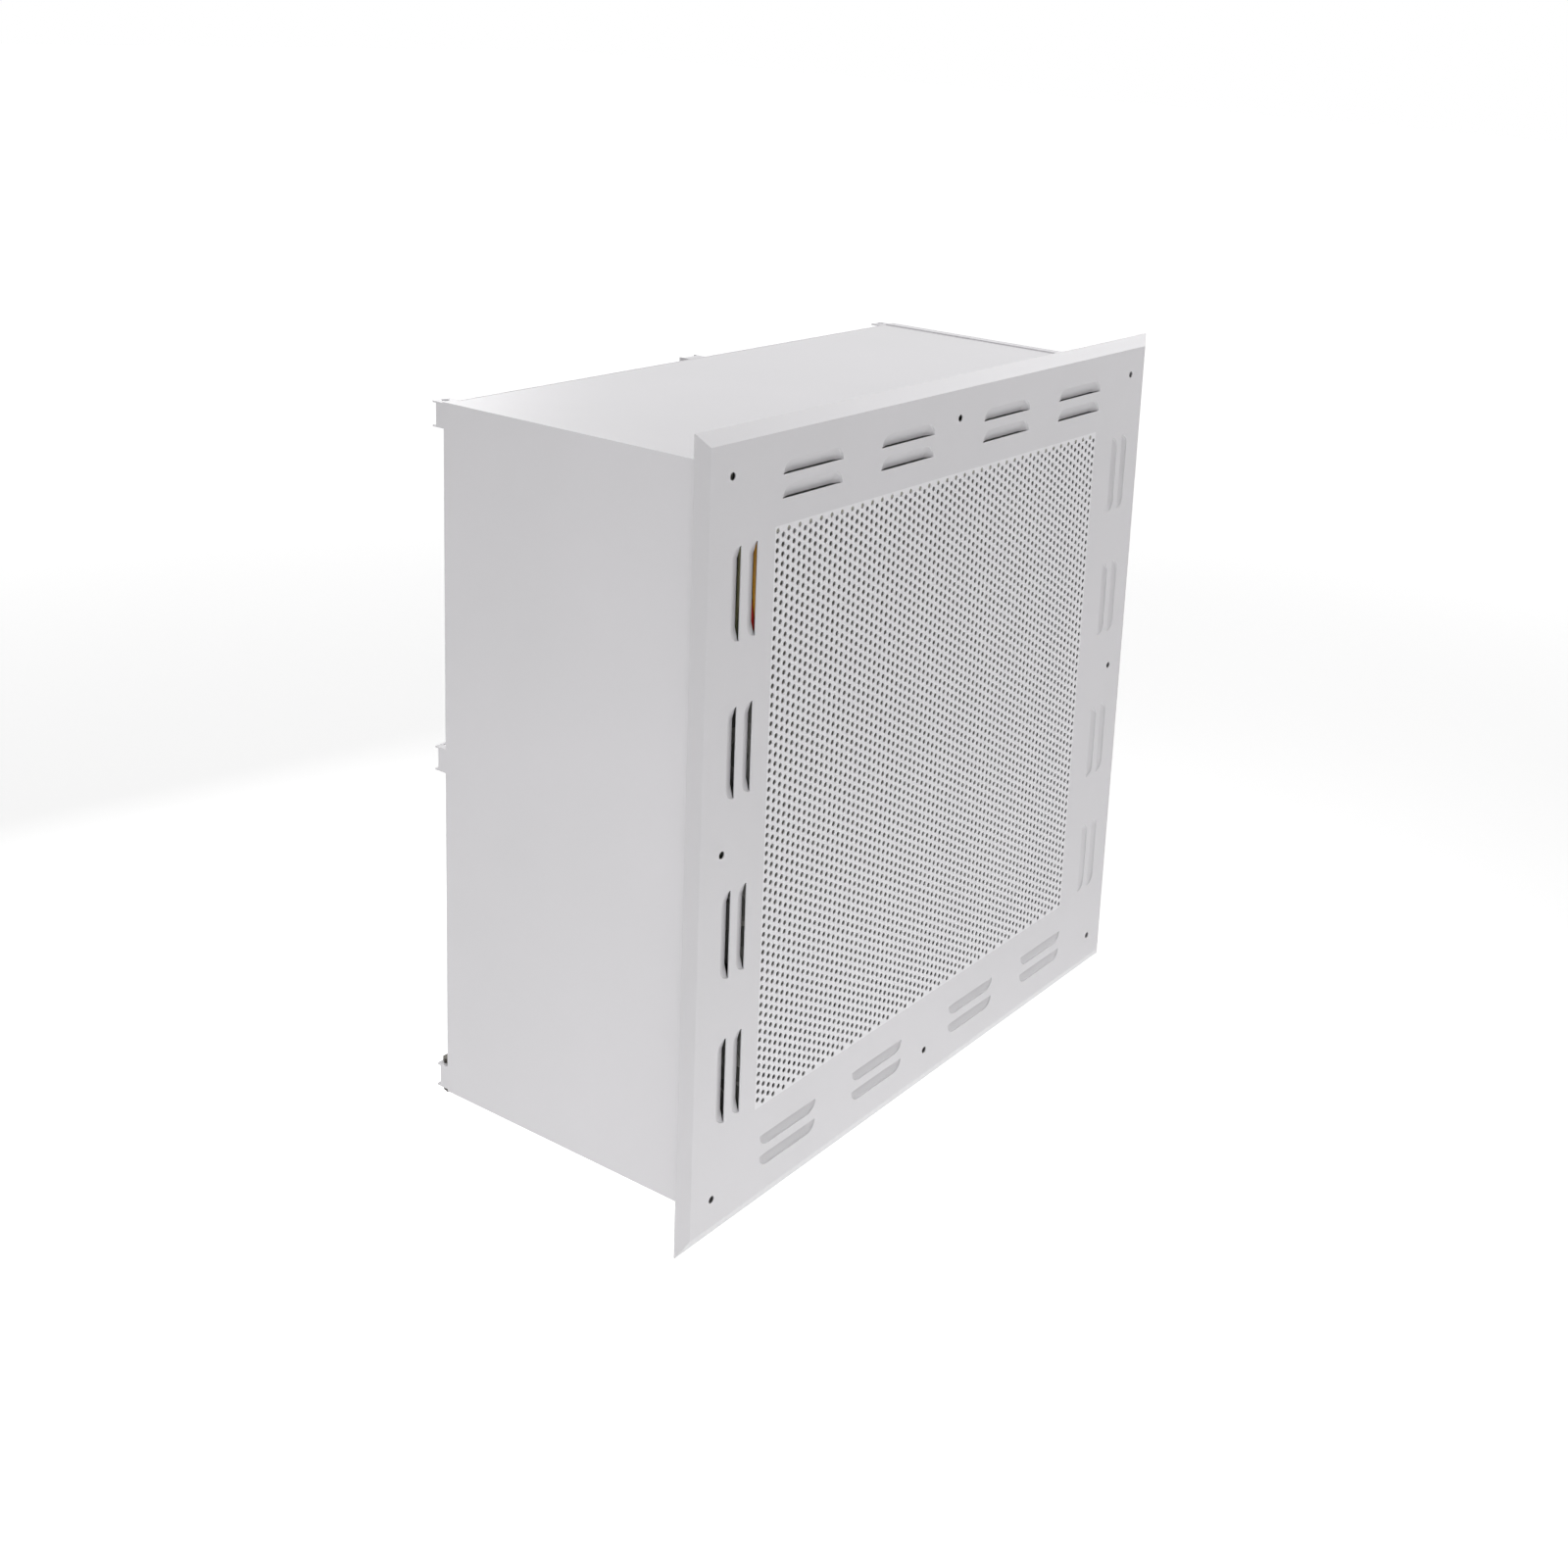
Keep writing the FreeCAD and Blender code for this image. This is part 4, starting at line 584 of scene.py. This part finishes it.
# %% [markdown]
# Polyester powder coat on steel: sprayed as dry powder and baked, so it is even and satin, with a very
# shallow orange peel about 1.5 mm across. A cloudy variation of a percent or two keeps large faces alive.

# %% White powder coat


def powder_coat(name, dark, light):
    """Satin white with faint clouds and a shallow orange peel."""
    material, tree, shader, place = new_finish(name, Roughness=0.42, IOR=1.5)
    cloud = add(tree, "ShaderNodeTexNoise", {"Scale": per_metre(160), "Detail": 3.0}, {"Vector": place})
    tree.links.new(blend_colours(tree, cloud.outputs["Fac"], dark, light), shader.inputs["Base Color"])
    peel = add(tree, "ShaderNodeTexNoise", {"Scale": per_metre(1.6), "Detail": 1.0}, {"Vector": place})
    bumped(tree, shader, peel.outputs["Fac"], 0.02, 0.35)
    return material


panel_white = powder_coat("white powder coat, face panel", "#DBDADC", "#E1DFE2")
casing_white = powder_coat("white powder coat, casing", "#DBDADC", "#E1DFE2")
# The field has a lighter copy of the same white coat: painted light standing in for the light that the
# holes' rounded edges catch.
field_white_painted_lighter = powder_coat("white powder coat, painted lighter on the perforated field", "#E9E8EB", "#EFEEF0")
print("coats:", panel_white.name, "|", casing_white.name, "|", field_white_painted_lighter.name)

# %% [markdown]
# Hot-dip galvanised sheet shows spangle, crystals a centimetre across that differ a little in tone and
# gloss. Zinc-plated screws are brighter and finer. The lug bolts are oiled dark steel.

# %% Bare and plated metals


def galvanised():
    """Zinc sheet whose crystals each have a tone and a gloss of their own."""
    material, tree, shader, place = new_finish("hot-dip galvanised sheet", Metallic=0.4)
    spangle = add(tree, "ShaderNodeTexVoronoi", {"Scale": per_metre(11)}, {"Vector": place})
    split = add(tree, "ShaderNodeSeparateColor", links={"Color": spangle.outputs["Color"]})
    tone = split.outputs["Red"]
    tree.links.new(blend_colours(tree, tone, "#93958F", "#D6D7D1"), shader.inputs["Base Color"])
    rough = add(tree, "ShaderNodeMapRange", {"To Min": 0.32, "To Max": 0.5}, {"Value": tone})
    tree.links.new(rough.outputs["Result"], shader.inputs["Roughness"])
    return material


def turned_metal(name, dark, light, grain_mm, rough):
    """Plated or plain metal with a fine grain."""
    material, tree, shader, place = new_finish(name, Metallic=1.0, Roughness=rough)
    grain = add(tree, "ShaderNodeTexNoise", {"Scale": per_metre(grain_mm), "Detail": 4.0}, {"Vector": place})
    tree.links.new(blend_colours(tree, grain.outputs["Fac"], dark, light), shader.inputs["Base Color"])
    bumped(tree, shader, grain.outputs["Fac"], 0.02, 0.3)
    return material


zinc_sheet = galvanised()
zinc_screws = turned_metal("zinc-plated steel", "#A9ABA9", "#C9CBC9", 2.0, 0.32)
dark_steel = turned_metal("oiled dark steel", "#2E2C29", "#56524C", 3.0, 0.38)
wheel_metal = turned_metal("spun aluminium", "#AEB1B3", "#C2C5C6", 6.0, 0.36)
frame_metal = turned_metal("anodised aluminium extrusion", "#B9BCBE", "#CACCCE", 5.0, 0.42)
metals = (zinc_sheet, zinc_screws, dark_steel, wheel_metal, frame_metal)
print("metals:", ", ".join(metal.name for metal in metals))

# %% [markdown]
# Plastics and rubbers: an even colour, a fine moulded grain, and a roughness between satin and matt.
# Closed-cell foam has pores about a millimetre across, and filter paper is matted glass fibre; its grey here
# is darker than the paper's own colour, painted shade for the dark seen through the holes.

# %% Plastics, rubber, foam and paper


def grained(name, dark, light, grain_mm, depth_mm, rough):
    """Matt surface with a fine all-over grain."""
    material, tree, shader, place = new_finish(name, Roughness=rough)
    grain = add(tree, "ShaderNodeTexNoise", {"Scale": per_metre(grain_mm), "Detail": 5.0}, {"Vector": place})
    tree.links.new(blend_colours(tree, grain.outputs["Fac"], dark, light), shader.inputs["Base Color"])
    bumped(tree, shader, grain.outputs["Fac"], depth_mm, 0.6)
    return material


FINISHES = {
    "panel_paint": panel_white,
    "casing_paint": casing_white,
    "foam": grained("grey closed-cell EPDM foam", "#96958A", "#CBCABF", 3.5, 0.2, 0.85),
    "dark_steel": dark_steel,
    "zinc_sheet": zinc_sheet,
    "zinc_screws": zinc_screws,
    "filter_frame_metal": frame_metal,
    # The filter paper's grey is painted shade: darker than the paper itself, so that the holes read dark.
    "filter_paper": grained("pleated glass fibre paper, darkened as painted shade", "#8F8E88", "#A3A29B", 3.0, 0.15, 0.9),
    "wheel_metal": wheel_metal,
    "motor_black": grained("black motor enamel", "#18181A", "#232326", 4.0, 0.05, 0.35),
    "grey_plastic": grained("moulded grey ABS", "#9A9C9D", "#A6A8A9", 1.0, 0.03, 0.5),
    "white_plastic": grained("moulded white nylon", "#DAD9D2", "#E4E3DD", 1.0, 0.03, 0.45),
    "gland_plastic": grained("moulded grey nylon", "#5A5D60", "#686B6E", 1.0, 0.04, 0.45),
    "black_rubber": grained("soft black PVC", "#141414", "#222222", 1.5, 0.04, 0.55),
    "lead_brown": grained("brown PVC insulation", "#A05C34", "#B46A3E", 2.0, 0.03, 0.4),
    "lead_yellow": grained("golden yellow PVC insulation", "#E8A020", "#F4B23A", 2.0, 0.03, 0.4),
    "lead_red": grained("red PVC insulation", "#B82014", "#CC2A1E", 2.0, 0.03, 0.4),
    "lead_green": grained("olive green PVC insulation", "#B9B788", "#CCCA9C", 2.0, 0.03, 0.4),
}

# %% Finishes onto the pieces
slots = {row["node"]: row["material_slot"] for row in frame["record"]["subparts"]}


def dress(thing, material):
    """Gives a piece its one material."""
    thing.data.materials.clear()
    thing.data.materials.append(material)


for node, thing in frame["nodes"].items():
    dress(thing, FINISHES[slots[node]])
for colour, piece in soft_leads.items():
    dress(piece, FINISHES["lead_" + colour])
dress(border, panel_white)
for piece in field_pieces:
    dress(piece, field_white_painted_lighter)
print("finishes:", len(FINISHES))

# %% [markdown]
# ## Room, light and camera
# The photograph is a plain white product shot: no floor line, soft light from above and a bright bounce
# from below, which makes the face lighter towards its foot.

# %% Floor and lights
FLOOR = -1.1
FLOOR_SIZE = 60.0
# The floor's glow, which only the camera sees: how strong it is so many metres from the floor's middle.
FLOOR_GLOW = {"From Min": 1.2, "To Min": 0.45, "From Max": 7.0, "To Max": 0.95}


def lamp(name, place, aim, size, power):
    """Square soft white lamp that looks at a point; metres and watts."""
    data = bpy.data.lights.new(name, "AREA")
    data.size = size
    data.energy = power
    thing = bpy.data.objects.new(name, data)
    bpy.context.collection.objects.link(thing)
    thing.location = place
    thing.rotation_euler = (Vector(aim) - Vector(place)).to_track_quat("-Z", "Y").to_euler()


def white_to_camera(tree, shader):
    """White where the camera, a mirror or glass sees it, and the plain shader for all other light."""
    path = add(tree, "ShaderNodeLightPath").outputs
    seen = path["Is Camera Ray"]
    for ray in ("Is Glossy Ray", "Is Transmission Ray"):
        seen = add(tree, "ShaderNodeMath", {"operation": "MAXIMUM"}, {0: seen, 1: path[ray]}).outputs[0]
    white = add(tree, "ShaderNodeBackground", {"Color": (1, 1, 1, 1), "Strength": 1.0}).outputs[0]
    return add(tree, "ShaderNodeMixShader", links={0: seen, 1: shader, 2: white}).outputs[0]


world = bpy.data.worlds.new("soft room")
world.use_nodes = True
bpy.context.scene.world = world
tree = world.node_tree
tree.nodes.clear()
room = add(tree, "ShaderNodeBackground", {"Color": linear("#FFFFFF"), "Strength": 0.2})
add(tree, "ShaderNodeOutputWorld", links={"Surface": white_to_camera(tree, room.outputs[0])})

bpy.ops.object.select_all(action="DESELECT")
bpy.ops.mesh.primitive_plane_add(size=FLOOR_SIZE, location=(0, 0, FLOOR))
floor = named("floor")
floor_white, tree, shader, place = new_finish(
    "white studio floor", Roughness=0.9, Emission_Color=(1, 1, 1, 1)
)
shade = add(tree, "ShaderNodeTexNoise", {"Scale": per_metre(900), "Detail": 2.0}, {"Vector": place})
tree.links.new(blend_colours(tree, shade.outputs["Fac"], "#EDEDED", "#F2F2F2"), shader.inputs["Base Color"])
away = add(tree, "ShaderNodeVectorMath", {"operation": "LENGTH"}, {"Vector": place})
reach = add(tree, "ShaderNodeMapRange", FLOOR_GLOW, {"Value": away.outputs["Value"]})
seen = add(tree, "ShaderNodeLightPath").outputs["Is Camera Ray"]
glow = add(tree, "ShaderNodeMath", {"operation": "MULTIPLY"}, {0: seen, 1: reach.outputs["Result"]})
tree.links.new(glow.outputs[0], shader.inputs["Emission Strength"])
dress(floor, floor_white)

lamp("overhead softbox", (0.1, 0.0, 2.2), (0, 0.1, 0), 2.4, 25)
lamp("right softbox", (1.7, -0.95, 1.05), (0, 0.05, 0.2), 0.9, 14.6)
lamp("rear softbox", (0.6, 2.4, 0.6), (0, 0.15, 0.1), 1.8, 31)
lamp("left softbox", (-2.4, 0.3, 0.2), (0, 0.15, 0), 2.0, 6.4)
lamp("camera side fill", (-1.4, -1.9, 0.2), (0, 0, 0), 1.4, 2)
lamp("lamp by the camera", (-1.75, -1.2, 0.3), (-0.25, 0, 0.0), 0.35, 5.6)
lamp("left bounce, low", (-1.8, 0.6, -0.9), (-0.3, 0.15, -0.1), 1.4, 13)
lamp("floor bounce", (0, -0.2, -1.05), (0, 0, 0), 2.4, 13.4)
lamp("front bounce, low", (0.3, -1.2, -0.6), (0.2, 0, -0.3), 0.7, 1.6)
print("lamps:", len(bpy.data.lights), "floor at", FLOOR, "m")

# %% [markdown]
# The camera stands to the left of the face and above it. Its place and angles put the screw holes, the
# rim's corners and the casing's edges where the photograph has them. The shift moves the frame down and to
# the left, because the photograph seems to be cut from a wider picture.

# %% Camera
camera_data = bpy.data.cameras.new("camera")
camera = bpy.data.objects.new("camera", camera_data)
bpy.context.collection.objects.link(camera)
camera.location = (-1.43192, -0.93254, 0.67132)
camera.rotation_euler = [math.radians(angle) for angle in (75.9278, -3.3988, -56.7681)]
camera_data.lens = 45.742
camera_data.sensor_width = 36.0
camera_data.shift_x = -0.125
camera_data.shift_y = -0.1875
bpy.context.scene.camera = camera
bpy.context.scene.view_settings.view_transform = "Standard"
print("camera at", tuple(camera.location), "lens", camera_data.lens, "mm")
